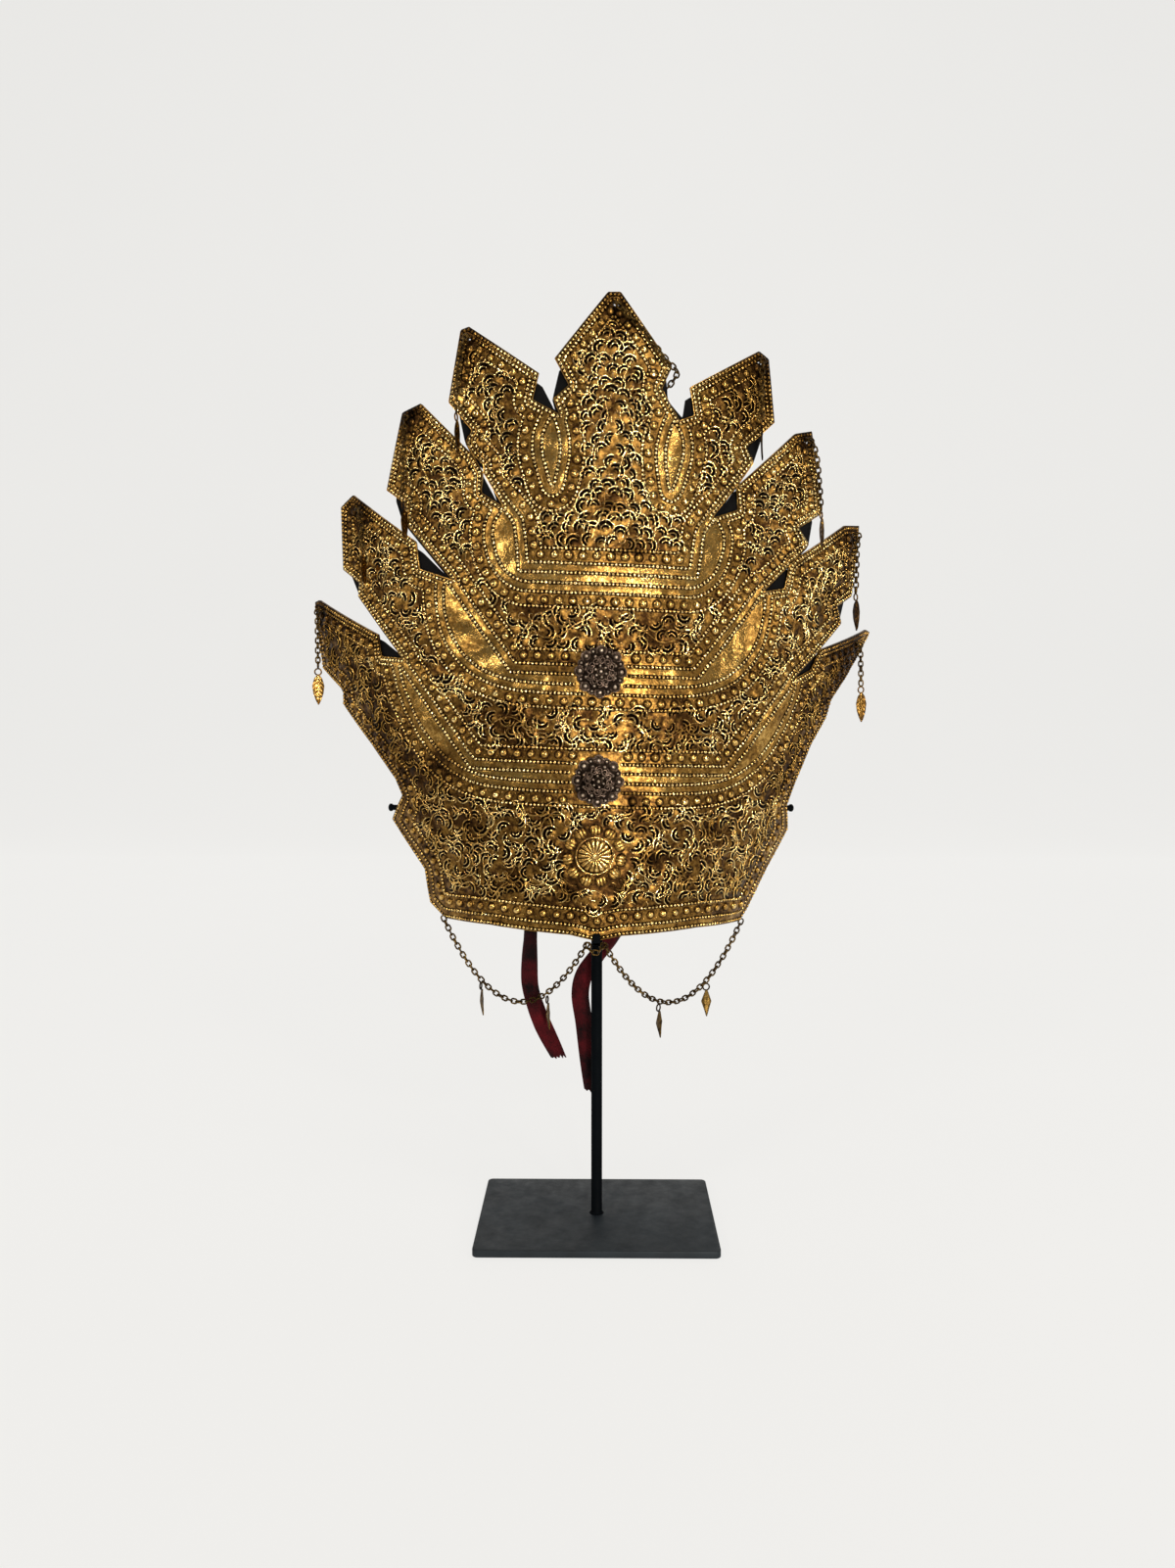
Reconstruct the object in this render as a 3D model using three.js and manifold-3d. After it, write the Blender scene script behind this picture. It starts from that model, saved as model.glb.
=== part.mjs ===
// Ceremonial crown on a display stand. Millimetres, +Z up, front towards -Y,
// origin under the middle of the stand's base.
import * as THREE from 'three';
import Module from 'manifold-3d';

const wasm = await Module();
wasm.setup();

// Stand
const BASE_WIDTH = 130;
const BASE_DEPTH = 91;
const BASE_THICK = 4;
const BASE_CORNER = 3;
const BASE_CORNER_STEPS = 4;
const POST_RADIUS = 3.05;
const POST_SIDES = 16;
const POST_TOP = 233;
const ARM_RADIUS = 1.6;
const ARM_SIDES = 8;
const ARM_PAST_SHEET = 1.8;
const ARMS = [
  { side: 'left', across: -133, rise: 65.2 },
  { side: 'right', across: 131.7, rise: 71.4 },
];
const HOOK_WIDTH = 4;
const HOOK_THICK = 1.8;
const HOOK_LIP = 6.4;
const HOOK_CLEAR = 0.4;

// How the crown sits on the stand
const HEM_HEIGHT = 159.5;
const FRONT_Y = -16;
const YAW = THREE.MathUtils.degToRad(4.5);
const ROLL = THREE.MathUtils.degToRad(1.9);

// Bend of the sheet: its radius grows from the hem towards a limit,
// and its front leans back below and above the belly
const HEM_RADIUS = 105;
const LIMIT_RADIUS = 300;
const RADIUS_RISE = 265;
const BELLY_RISE = 150;
const HEM_SETBACK = 8;
const TIP_SETBACK = 6;
const CROWN_RISE = 345;

// Sheet, backing and fit
const SHEET_THICK = 1;
const BAND_RAISE = 0.8;
const BAND_HALF = 5.7;
const BACKING_THICK = 2.4;
const BACKING_GAP = 0.8;
const GAP = 0.3;
const SINK = 0.2;
const LONGEST_EDGE = 23;
const LONGEST_BACKING_EDGE = 26;
const LONG_SHARE = 0.8;
const HOLE_RADIUS = 1.8;
const HOLE_SIDES = 8;
const WELD = 1e-4;
const FLAT_TURN = 1e-6;
const MOST_PASSES = 60;

// Outline from the centre tip to the hem: across along the sheet and rise above the hem,
// on the right and on the left
const OUTLINE = [
  { at: 'centre tip', across: 1.4, rise: 343.5, leftAcross: 5.2, leftRise: 343.1 },
  { at: 'centre corner', across: 29.9, rise: 306.3, leftAcross: 32.1, leftRise: 307.6 },
  { at: 'centre notch', across: 24.7, rise: 294.6, leftAcross: 24.2, leftRise: 294 },
  { at: 'centre step', across: 28.1, rise: 289.3, leftAcross: 32.2, leftRise: 286.8 },
  { at: 'valley 1', across: 34.8, rise: 278.8, leftAcross: 28.6, leftRise: 278.7 },
  { at: 'point 1 inner notch', across: 42.9, rise: 282.4, leftAcross: 43, leftRise: 286.2 },
  { at: 'point 1 inner corner', across: 39.9, rise: 296.8, leftAcross: 40, leftRise: 299.9 },
  { at: 'point 1 tip, inner', across: 79.4, rise: 321, leftAcross: 78.6, leftRise: 325.1 },
  { at: 'point 1 tip, outer', across: 85.7, rise: 317.6, leftAcross: 83.3, leftRise: 323.6 },
  { at: 'point 1 outer corner', across: 91, rise: 284.3, leftAcross: 89.3, leftRise: 285.9 },
  { at: 'point 1 outer notch', across: 74.3, rise: 268.8, leftAcross: 75.5, leftRise: 270.4 },
  { at: 'point 1 step', across: 78.8, rise: 261, leftAcross: 79.2, leftRise: 264.8 },
  { at: 'valley 2', across: 55.2, rise: 229.4, leftAcross: 57.1, leftRise: 230.4 },
  { at: 'point 2 inner notch', across: 70.2, rise: 235.1, leftAcross: 69.2, leftRise: 237.9 },
  { at: 'point 2 inner corner', across: 68.7, rise: 247.3, leftAcross: 68.5, leftRise: 252.2 },
  { at: 'point 2 tip, inner', across: 105.4, rise: 280.5, leftAcross: 105.7, leftRise: 286.4 },
  { at: 'point 2 tip, outer', across: 117.3, rise: 283.7, leftAcross: 117.4, leftRise: 282.3 },
  { at: 'point 2 outer corner', across: 128.5, rise: 239.7, leftAcross: 127.4, leftRise: 241.4 },
  { at: 'point 2 outer notch', across: 111.8, rise: 230, leftAcross: 114.2, leftRise: 233.2 },
  { at: 'point 2 step', across: 120.2, rise: 221.8, leftAcross: 116.4, leftRise: 225.5 },
  { at: 'valley 3', across: 89.1, rise: 193, leftAcross: 85, leftRise: 192.2 },
  { at: 'point 3 inner notch', across: 103.7, rise: 195.8, leftAcross: 105, leftRise: 198.3 },
  { at: 'point 3 inner corner', across: 106.5, rise: 210.6, leftAcross: 107.6, leftRise: 213 },
  { at: 'point 3 tip, inner', across: 150.4, rise: 236.2, leftAcross: 152.3, leftRise: 240.9 },
  { at: 'point 3 tip, outer', across: 165.3, rise: 238.2, leftAcross: 162.7, leftRise: 235 },
  { at: 'point 3 outer corner', across: 165.8, rise: 197.4, leftAcross: 162.4, leftRise: 200.2 },
  { at: 'point 3 outer notch', across: 150.9, rise: 190.3, leftAcross: 149, leftRise: 192.4 },
  { at: 'point 3 step', across: 157.5, rise: 181, leftAcross: 150.2, leftRise: 184.9 },
  { at: 'valley 4', across: 115.8, rise: 146.1, leftAcross: 117, leftRise: 150.2 },
  { at: 'point 4 inner notch', across: 131, rise: 152.5, leftAcross: 132.5, leftRise: 151.3 },
  { at: 'point 4 inner corner', across: 138, rise: 164.5, leftAcross: 134.6, leftRise: 163.3 },
  { at: 'point 4 tip, inner', across: 195.1, rise: 180.3, leftAcross: 189.8, leftRise: 184.7 },
  { at: 'point 4 tip, outer', across: 204.1, rise: 179.6, leftAcross: 195.8, leftRise: 183.8 },
  { at: 'point 4 outer corner', across: 174.2, rise: 150, leftAcross: 195.7, leftRise: 145.1 },
  { at: 'point 4 outer notch', across: 158.2, rise: 135.9, leftAcross: 171.8, leftRise: 132 },
  { at: 'point 4 step', across: 155.7, rise: 125.3, leftAcross: 174, leftRise: 124 },
  { at: 'flank', across: 142.5, rise: 109.5, leftAcross: 146.4, leftRise: 101.4 },
  { at: 'lower flank', across: 131, rise: 86, leftAcross: 126.6, leftRise: 82.6 },
  { at: 'side notch', across: 126.5, rise: 73.5, leftAcross: 121.7, leftRise: 73.4 },
  { at: 'side corner', across: 135, rise: 58.9, leftAcross: 134.5, leftRise: 58.5 },
  { at: 'lower side', across: 118.4, rise: 35.4, leftAcross: 108, leftRise: 31.7 },
  { at: 'hem corner', across: 106.5, rise: 12, leftAcross: 107.5, leftRise: 11.5 },
  { at: 'hem end', across: 101.5, rise: 5, leftAcross: 94.6, leftRise: 4 },
  { at: 'hem, outer', across: 60, rise: 5.6, leftAcross: 60, leftRise: 4.8 },
  { at: 'hem, inner', across: 14, rise: 2.9, leftAcross: 14, leftRise: 2.9 },
];

// Outline of the backing: plainer than the sheet, so that it shows in the notches
const BACKING = [
  { at: 'centre top', across: 8, rise: 320.5, leftAcross: 11.8, leftRise: 320.1 },
  { at: 'centre corner', across: 27.5, rise: 300.8, leftAcross: 29.7, leftRise: 302.1 },
  { at: 'centre step', across: 28.8, rise: 289.3, leftAcross: 32.9, leftRise: 286.8 },
  { at: 'valley 1', across: 37.3, rise: 280.8, leftAcross: 31.1, leftRise: 280.7 },
  { at: 'point 1 inner corner', across: 38.5, rise: 291, leftAcross: 38.6, leftRise: 294.1 },
  { at: 'point 1 top, inner', across: 68.9, rise: 305.5, leftAcross: 68.1, leftRise: 309.6 },
  { at: 'point 1 top, outer', across: 82.3, rise: 298.4, leftAcross: 79.9, leftRise: 304.4 },
  { at: 'point 1 outer corner', across: 85.9, rise: 279, leftAcross: 84.2, leftRise: 280.6 },
  { at: 'point 1 step', across: 79.8, rise: 261, leftAcross: 80.2, leftRise: 264.8 },
  { at: 'valley 2', across: 59.4, rise: 232.1, leftAcross: 61.3, leftRise: 233.1 },
  { at: 'point 2 inner corner', across: 66.8, rise: 243.5, leftAcross: 66.6, leftRise: 248.4 },
  { at: 'point 2 top, inner', across: 94.8, rise: 263.9, leftAcross: 95.1, leftRise: 269.8 },
  { at: 'point 2 top, outer', across: 113.9, rise: 265.7, leftAcross: 114, leftRise: 264.3 },
  { at: 'point 2 outer corner', across: 124.2, rise: 234.8, leftAcross: 123.1, leftRise: 236.5 },
  { at: 'point 2 step', across: 122.2, rise: 220.8, leftAcross: 118.4, leftRise: 224.5 },
  { at: 'valley 3', across: 93.4, rise: 194.8, leftAcross: 89.3, leftRise: 194 },
  { at: 'point 3 inner corner', across: 104, rise: 205, leftAcross: 105.1, leftRise: 207.4 },
  { at: 'point 3 top, inner', across: 139.5, rise: 222.8, leftAcross: 141.4, leftRise: 227.5 },
  { at: 'point 3 top, outer', across: 159.6, rise: 220.8, leftAcross: 157, leftRise: 217.6 },
  { at: 'point 3 outer corner', across: 161.7, rise: 193.9, leftAcross: 158.3, leftRise: 196.7 },
  { at: 'point 3 step', across: 158.8, rise: 180.5, leftAcross: 151.5, leftRise: 184.4 },
  { at: 'valley 4', across: 119.5, rise: 147.7, leftAcross: 120.7, leftRise: 151.8 },
  { at: 'point 4 inner corner', across: 137, rise: 160.7, leftAcross: 133.6, leftRise: 159.5 },
  { at: 'point 4 top, inner', across: 172, rise: 168, leftAcross: 175.6, leftRise: 174.5 },
  { at: 'point 4 top, outer', across: 184, rise: 166.5, leftAcross: 185.8, leftRise: 167.8 },
  { at: 'point 4 outer corner', across: 168, rise: 149.5, leftAcross: 187.7, leftRise: 143.6 },
  { at: 'point 4 step', across: 153.7, rise: 124.3, leftAcross: 172, leftRise: 123 },
  { at: 'flank', across: 138.5, rise: 108.5, leftAcross: 142.4, leftRise: 100.4 },
  { at: 'lower flank', across: 124, rise: 87, leftAcross: 119.5, leftRise: 84 },
  { at: 'side notch', across: 115, rise: 74, leftAcross: 111, leftRise: 73.5 },
  { at: 'side corner', across: 130, rise: 57, leftAcross: 129, leftRise: 56 },
  { at: 'lower side', across: 114.4, rise: 35.8, leftAcross: 104, leftRise: 32.1 },
  { at: 'hem corner', across: 102.5, rise: 14, leftAcross: 103.5, leftRise: 13.5 },
  { at: 'hem end', across: 98, rise: 8.6, leftAcross: 91.4, leftRise: 7.8 },
  { at: 'hem, outer', across: 60, rise: 9, leftAcross: 60, leftRise: 8.2 },
];
const BACKING_HEM_RISE = 6;

// Raised bands between the tiers: valley, kink and middle on the right half
const BANDS = [
  { name: 'first', valleyAcross: 56.8, valleyRise: 226, kinkAcross: 46, kinkRise: 196.5 },
  { name: 'second', valleyAcross: 88.2, valleyRise: 188, kinkAcross: 50, kinkRise: 143.5 },
  { name: 'third', valleyAcross: 117, valleyRise: 141, kinkAcross: 68, kinkRise: 91.5 },
];

// Flower raised in the sheet near the hem
const FLOWER_ACROSS = -2.4;
const FLOWER_RISE = 47;
const FLOWER_HEART = 8.5;
const FLOWER_HEART_RAISE = 2.6;
const FLOWER_RING = 14;
const FLOWER_PETALS = 9;
const FLOWER_PETAL = 4;
const FLOWER_PETAL_RAISE = 1.7;
const FLOWER_SIDES = 12;
const PETAL_SIDES = 8;

// Applied rosettes
const ROSETTE_RADIUS = 14.8;
const ROSETTE_RIM = 2;
const ROSETTE_PLATE = 1.2;
const ROSETTE_SIDES = 16;
const ROSETTE_HEART = { radius: 7.4, height: 5.4, rings: 6, sides: 12 };
const ROSETTE_LOBE = { radius: 4, height: 3, rings: 4, sides: 8 };
const ROSETTE_LOBES = 8;
const ROSETTES = [
  { name: 'rosette_upper', across: -3, rise: 145.2 },
  { name: 'rosette_lower', across: -2.3, rise: 87.6 },
];

// Chains and leaves at the tips: hole on the sheet, chain length, drift of its end to the right,
// turn of the leaf.
// The one at the centre lies along the edge and goes over it, and its leaf hangs behind
const CHAIN_RADIUS = 0.9;
const CHAIN_SIDES = 8;
const CHAIN_STEP = 6;
const CHAIN_END_STEPS = 3;
const CHAIN_BEHIND = 2.4;
const CHAIN_STANDOFF = 4;
const CHAIN_BOWS = [
  { share: 0.2, bow: 0.3 },
  { share: 0.6, bow: 0.2 },
];
const CENTRE_CHAIN = [
  { across: -1, rise: 337, out: 2.2 },
  { across: 2.5, rise: 333.5, out: 3 },
  { across: 10.5, rise: 326.5, out: 2.4 },
  { across: 20.5, rise: 315.5, out: 2.4 },
  { across: 28, rise: 307.5, out: 2.8 },
  { across: 32.5, rise: 304, out: 1 },
  { across: 32, rise: 301, out: -4 },
  { across: 27.5, rise: 295, out: -8 },
  { across: 24, rise: 286, out: -8.5 },
];
const TIPS = [
  { name: 'l4', across: -187.5, rise: 178.5, length: 33, drift: 0, turn: 15 },
  { name: 'l3', across: -146, rise: 232.5, length: 22, drift: 4, turn: 75 },
  { name: 'l2', across: -113.3, rise: 279, length: 45, drift: -1, turn: 70 },
  { name: 'l1', across: -79, rise: 319, length: 40, drift: -5, turn: 75 },
  { name: 'c', across: -1, rise: 337, length: 62, over: CENTRE_CHAIN, turn: 0 },
  { name: 'r1', across: 80, rise: 315.5, length: 32, drift: -1, turn: 80 },
  { name: 'r2', across: 113.5, rise: 278, length: 39, drift: 6, turn: 60 },
  { name: 'r3', across: 160.5, rise: 232.5, length: 34, drift: -2, turn: 45 },
  { name: 'r4', across: 179.5, rise: 171, length: 25, drift: 1, turn: 20 },
];
const LEAF_LENGTH = 17.5;
const LEAF_WIDTH = 7;
const LEAF_THICK = 0.9;
const RING_RADIUS = 1.9;
const RING_WIRE = 0.45;
const RING_SIDES = 10;
const RING_WIRE_SIDES = 5;

// Chains along the hem: outer ends on the sheet, sag of the middle,
// and the drops on each at a share of its span
const SWAGS = [
  { name: 'swag_left', side: -1, across: -95, rise: 5.4 },
  { name: 'swag_right', side: 1, across: 101, rise: 6.4 },
];
const SWAG_MIDDLE_ACROSS = 4.4;
const SWAG_SAG = 40.5;
const SWAG_STANDOFF = 2.2;
const SWAG_MIDDLE_OUT = 0.8;
const SWAG_MIDDLE_DROP = 1.4;
const SWAG_POINTS = 12;
const SWAG_STEPS = 22;
const LOZENGES = [
  { name: 'lozenge_l1', side: -1, share: 0.27, turn: 80 },
  { name: 'lozenge_l2', side: -1, share: 0.73, turn: 75 },
  { name: 'lozenge_r1', side: 1, share: 0.62, turn: 55 },
  { name: 'lozenge_r2', side: 1, share: 0.27, turn: 10 },
];
const LOZENGE_DROP = 1.4;
const LOZENGE_LENGTH = 15;
const LOZENGE_WIDTH = 6;

// Cloth ties: two places where each is sewn to the backing, then its middle line down to the free end
const TIE_THICK = 1.1;
const TIE_STEPS = 3;
const TIE_SEAT = 1;
const TIES = [
  {
    name: 'tie_left',
    width: 10.2,
    sewn: [{ across: -37, rise: 26 }, { across: -38, rise: 13 }],
    fall: [
      { x: -38, y: 4.5, z: 146 }, { x: -37.5, y: 6.5, z: 131 }, { x: -34.5, y: 7.5, z: 119 },
      { x: -29.5, y: 7.5, z: 106 }, { x: -22, y: 7, z: 89 },
    ],
  },
  {
    name: 'tie_right',
    width: 10.2,
    sewn: [{ across: 22, rise: 25 }, { across: 18, rise: 14 }],
    fall: [
      { x: 8, y: 5.6, z: 157 }, { x: -0.5, y: 7.4, z: 146 }, { x: -7, y: 8, z: 136 }, { x: -9, y: 8, z: 126 },
      { x: -7, y: 7.8, z: 110 }, { x: -5, y: 7.4, z: 92 }, { x: -2.5, y: 7, z: 70 },
    ],
  },
];

// Colours of the construction model
const LOOKS = {
  gilt: { color: 0xb08a3c, metalness: 1, roughness: 0.4 },
  darkBrass: { color: 0x5a4626, metalness: 1, roughness: 0.5 },
  oxidised: { color: 0x2c2118, metalness: 1, roughness: 0.55 },
  cloth: { color: 0x0d0c0c, metalness: 0, roughness: 0.95 },
  redCloth: { color: 0x5a0a14, metalness: 0, roughness: 0.9 },
  blackMetal: { color: 0x1b2024, metalness: 0.4, roughness: 0.6 },
};

const part = new THREE.Group();
part.name = 'ceremonial_crown';

// Placement of the crown: turned about the middle of its hem
const seat = new THREE.Matrix4()
  .makeTranslation(0, FRONT_Y, HEM_HEIGHT)
  .multiply(new THREE.Matrix4().makeRotationY(ROLL))
  .multiply(new THREE.Matrix4().makeRotationZ(YAW));

function radiusAt(rise) {
  return LIMIT_RADIUS - (LIMIT_RADIUS - HEM_RADIUS) * Math.exp(-rise / RADIUS_RISE);
}

function setbackAt(rise) {
  const below = rise < BELLY_RISE;
  const span = below ? BELLY_RISE : CROWN_RISE - BELLY_RISE;
  return (below ? HEM_SETBACK : TIP_SETBACK) * ((rise - BELLY_RISE) / span) ** 2;
}

function skin(across, rise) {
  const radius = radiusAt(rise);
  const angle = across / radius;
  return new THREE.Vector3(radius * Math.sin(angle), setbackAt(rise) + radius * (1 - Math.cos(angle)), rise);
}

function skinNormal(across, rise) {
  const step = 0.5;
  const alongAcross = skin(across + step, rise).sub(skin(across - step, rise));
  const alongRise = skin(across, rise + step).sub(skin(across, rise - step));
  return alongAcross.cross(alongRise).normalize();
}

// A point of the crown: along the sheet, up the sheet, and out from its back face
function crownPoint(across, rise, out) {
  return skin(across, rise).addScaledVector(skinNormal(across, rise), out).applyMatrix4(seat);
}

// Solids as plain vertex and triangle lists, with equal points shared
function weld(geometry) {
  const place = geometry.getAttribute('position');
  const index = geometry.getIndex();
  const corners = index ? index.count : place.count;
  const found = new Map();
  const points = [];
  const faces = [];
  for (let corner = 0; corner < corners; corner += 3) {
    const face = [0, 1, 2].map((k) => {
      const source = index ? index.getX(corner + k) : corner + k;
      const point = [place.getX(source), place.getY(source), place.getZ(source)];
      const key = point.map((value) => Math.round(value / WELD)).join();
      if (!found.has(key)) {
        found.set(key, points.length);
        points.push(point);
      }
      return found.get(key);
    });
    if (new Set(face).size === 3) faces.push(face);
  }
  return { points, faces };
}

function toSolid(geometry) {
  const { points, faces } = weld(geometry);
  return new wasm.Manifold(new wasm.Mesh({
    numProp: 3,
    vertProperties: new Float32Array(points.flat()),
    triVerts: new Uint32Array(faces.flat()),
  }));
}

function toGeometry(points, faces) {
  const geometry = new THREE.BufferGeometry();
  geometry.setAttribute('position', new THREE.Float32BufferAttribute(points.flat(), 3));
  geometry.setIndex(faces.flat());
  geometry.computeVertexNormals();
  return geometry;
}

function fromSolid(solid) {
  const mesh = solid.getMesh();
  const points = [];
  const faces = [];
  for (let k = 0; k < mesh.vertProperties.length; k += mesh.numProp) {
    points.push([...mesh.vertProperties.slice(k, k + 3)]);
  }
  for (let k = 0; k < mesh.triVerts.length; k += 3) faces.push([...mesh.triVerts.slice(k, k + 3)]);
  return { points, faces };
}

function join(geometries) {
  return geometries.map(toSolid).reduce((whole, next) => whole.add(next));
}

// Turns the shared edge of two faces of one flat side where that makes both rounder
function evenOut({ points, faces }) {
  const turnOf = (a, b, c) => {
    const [p, q, r] = [points[a], points[b], points[c]];
    return (q[0] - p[0]) * (r[1] - p[1]) - (q[1] - p[1]) * (r[0] - p[0]);
  };
  const cosineAt = (tip, a, b) => {
    const [u, v] = [a, b].map((k) => [points[k][0] - points[tip][0], points[k][1] - points[tip][1]]);
    return (u[0] * v[0] + u[1] * v[1]) / (Math.hypot(...u) * Math.hypot(...v));
  };
  for (let pass = 0; pass < MOST_PASSES; pass += 1) {
    const edges = new Map();
    faces.forEach((face, k) => {
      face.forEach((a, c) => edges.set(`${a}_${face[(c + 1) % 3]}`, [k, face[(c + 2) % 3]]));
    });
    const touched = new Set();
    for (const [key, [k, tip]] of edges) {
      const [a, b] = key.split('_').map(Number);
      const [other, far] = edges.get(`${b}_${a}`);
      if (a > b || touched.has(k) || touched.has(other)) continue;
      const outs = [a, b, tip, far].map((corner) => points[corner][2]);
      if (Math.max(...outs) - Math.min(...outs) > WELD) continue;
      const facing = Math.sign(turnOf(a, b, tip));
      if (facing * turnOf(tip, a, far) <= FLAT_TURN || facing * turnOf(far, b, tip) <= FLAT_TURN) continue;
      const angles = Math.acos(cosineAt(tip, a, b)) + Math.acos(cosineAt(far, a, b));
      if (angles <= Math.PI + FLAT_TURN || edges.has(`${tip}_${far}`) || edges.has(`${far}_${tip}`)) continue;
      faces[k] = [tip, a, far];
      faces[other] = [far, b, tip];
      touched.add(k).add(other);
    }
    if (!touched.size) break;
  }
  return { points, faces };
}

// Splits every edge longer than the limit, on all the faces that share it, the longest first
function splitLongEdges({ points, faces }, limit) {
  let current = evenOut({ points, faces }).faces;
  const span = (a, b) => Math.hypot(...points[a].map((value, k) => value - points[b][k]));
  for (;;) {
    const longest = Math.max(...current.map(([a, b, c]) => Math.max(span(a, b), span(b, c), span(c, a))));
    if (longest <= limit) return { points, faces: current };
    const cutAbove = Math.max(limit, LONG_SHARE * longest);
    const middles = new Map();
    const middle = (a, b) => {
      const key = a < b ? `${a}_${b}` : `${b}_${a}`;
      if (!middles.has(key)) {
        const halfway = points[a].map((value, k) => (value + points[b][k]) / 2);
        middles.set(key, span(a, b) > cutAbove ? points.push(halfway) - 1 : null);
      }
      return middles.get(key);
    };
    const next = [];
    for (const [a, b, c] of current) {
      const [ab, bc, ca] = [middle(a, b), middle(b, c), middle(c, a)];
      const cuts = [ab, bc, ca].filter((cut) => cut !== null).length;
      if (cuts === 0) next.push([a, b, c]);
      else if (cuts === 3) next.push([a, ab, ca], [ab, b, bc], [ca, bc, c], [ab, bc, ca]);
      else {
        // turns the face so that its first edge is cut and, with two cuts, its third edge is whole
        let [p, q, r, pq, qr, rp] = [a, b, c, ab, bc, ca];
        while (pq === null || (cuts === 2 && rp !== null)) {
          [p, q, r, pq, qr, rp] = [q, r, p, qr, rp, pq];
        }
        if (cuts === 1) next.push([p, pq, r], [pq, q, r]);
        else next.push([pq, q, qr], [p, pq, qr], [p, qr, r]);
      }
    }
    current = evenOut({ points, faces: next }).faces;
  }
}

// Bends a flat solid, drawn across, up and out, onto the crown
function bend({ points, faces }) {
  return toGeometry(points.map(([across, rise, out]) => crownPoint(across, rise, out).toArray()), faces);
}

function addNode(name, look, geometry) {
  const mesh = new THREE.Mesh(geometry, new THREE.MeshStandardMaterial({ ...LOOKS[look], name: look }));
  mesh.name = name;
  part.add(mesh);
}

function bothSides(rows, hemRise) {
  const right = rows.map(({ across, rise }) => new THREE.Vector2(across, rise));
  const left = rows.map(({ leftAcross, leftRise }) => new THREE.Vector2(-leftAcross, leftRise)).reverse();
  return new THREE.Shape([...right, new THREE.Vector2(0, hemRise), ...left]);
}

function slab(shape, from, to) {
  return new THREE.ExtrudeGeometry(shape, { depth: to - from, bevelEnabled: false, curveSegments: 1 })
    .translate(0, 0, from);
}

function disc(across, rise, radius, sides, from, to) {
  const rim = Array.from({ length: sides }, (_, k) => {
    const angle = (2 * Math.PI * k) / sides;
    return new THREE.Vector2(across + radius * Math.cos(angle), rise + radius * Math.sin(angle));
  });
  return slab(new THREE.Shape(rim), from, to);
}

// A strip of even width along a line of flat points
function strip(line, half, from, to) {
  const along = line.slice(1).map((point, k) => point.clone().sub(line[k]).normalize());
  const sides = line.map((_, k) => {
    const before = along[Math.max(k - 1, 0)];
    const after = along[Math.min(k, along.length - 1)];
    const between = before.clone().add(after).normalize();
    return new THREE.Vector2(-between.y, between.x).multiplyScalar(half / between.dot(after));
  });
  const upper = line.map((point, k) => point.clone().add(sides[k])).reverse();
  const lower = line.map((point, k) => point.clone().sub(sides[k]));
  return slab(new THREE.Shape([...lower, ...upper]), from, to);
}

// Sheet with its raised bands and flower
function crownPlate() {
  const solids = [slab(bothSides(OUTLINE, 0), 0, SHEET_THICK)];
  for (const { valleyAcross, valleyRise, kinkAcross, kinkRise } of BANDS) {
    const line = [
      new THREE.Vector2(-valleyAcross, valleyRise),
      new THREE.Vector2(-kinkAcross, kinkRise),
      new THREE.Vector2(kinkAcross, kinkRise),
      new THREE.Vector2(valleyAcross, valleyRise),
    ];
    solids.push(strip(line, BAND_HALF, SHEET_THICK - SINK, SHEET_THICK + BAND_RAISE));
  }
  const heartTop = SHEET_THICK + FLOWER_HEART_RAISE;
  solids.push(disc(FLOWER_ACROSS, FLOWER_RISE, FLOWER_HEART, FLOWER_SIDES, SHEET_THICK - SINK, heartTop));
  for (let k = 0; k < FLOWER_PETALS; k += 1) {
    const angle = (2 * Math.PI * k) / FLOWER_PETALS;
    const across = FLOWER_ACROSS + FLOWER_RING * Math.sin(angle);
    const rise = FLOWER_RISE + FLOWER_RING * Math.cos(angle);
    const top = SHEET_THICK + FLOWER_PETAL_RAISE;
    solids.push(disc(across, rise, FLOWER_PETAL, PETAL_SIDES, SHEET_THICK - SINK, top));
  }
  let solid = join(solids);
  for (const { across, rise } of TIPS) {
    solid = solid.subtract(toSolid(disc(across, rise, HOLE_RADIUS, HOLE_SIDES, -1, SHEET_THICK + 1)));
  }
  return bend(splitLongEdges(fromSolid(solid), LONGEST_EDGE));
}

function crownBacking() {
  const flat = weld(slab(bothSides(BACKING, BACKING_HEM_RISE), -BACKING_GAP - BACKING_THICK, -BACKING_GAP));
  return bend(splitLongEdges(flat, LONGEST_BACKING_EDGE));
}

// A frame on the crown whose Z points out of the sheet and Y up it
function frameOn(across, rise, out) {
  const normal = skinNormal(across, rise);
  const up = skin(across, rise + 1).sub(skin(across, rise - 1)).normalize();
  const side = up.clone().cross(normal).normalize();
  const turn = new THREE.Matrix4().makeBasis(side, normal.clone().cross(side), normal);
  const place = skin(across, rise).addScaledVector(normal, out);
  return seat.clone().multiply(turn.setPosition(place));
}

function dome({ radius, height, rings, sides }) {
  return new THREE.SphereGeometry(1, sides, rings).rotateX(Math.PI / 2).scale(radius, radius, height);
}

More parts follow.
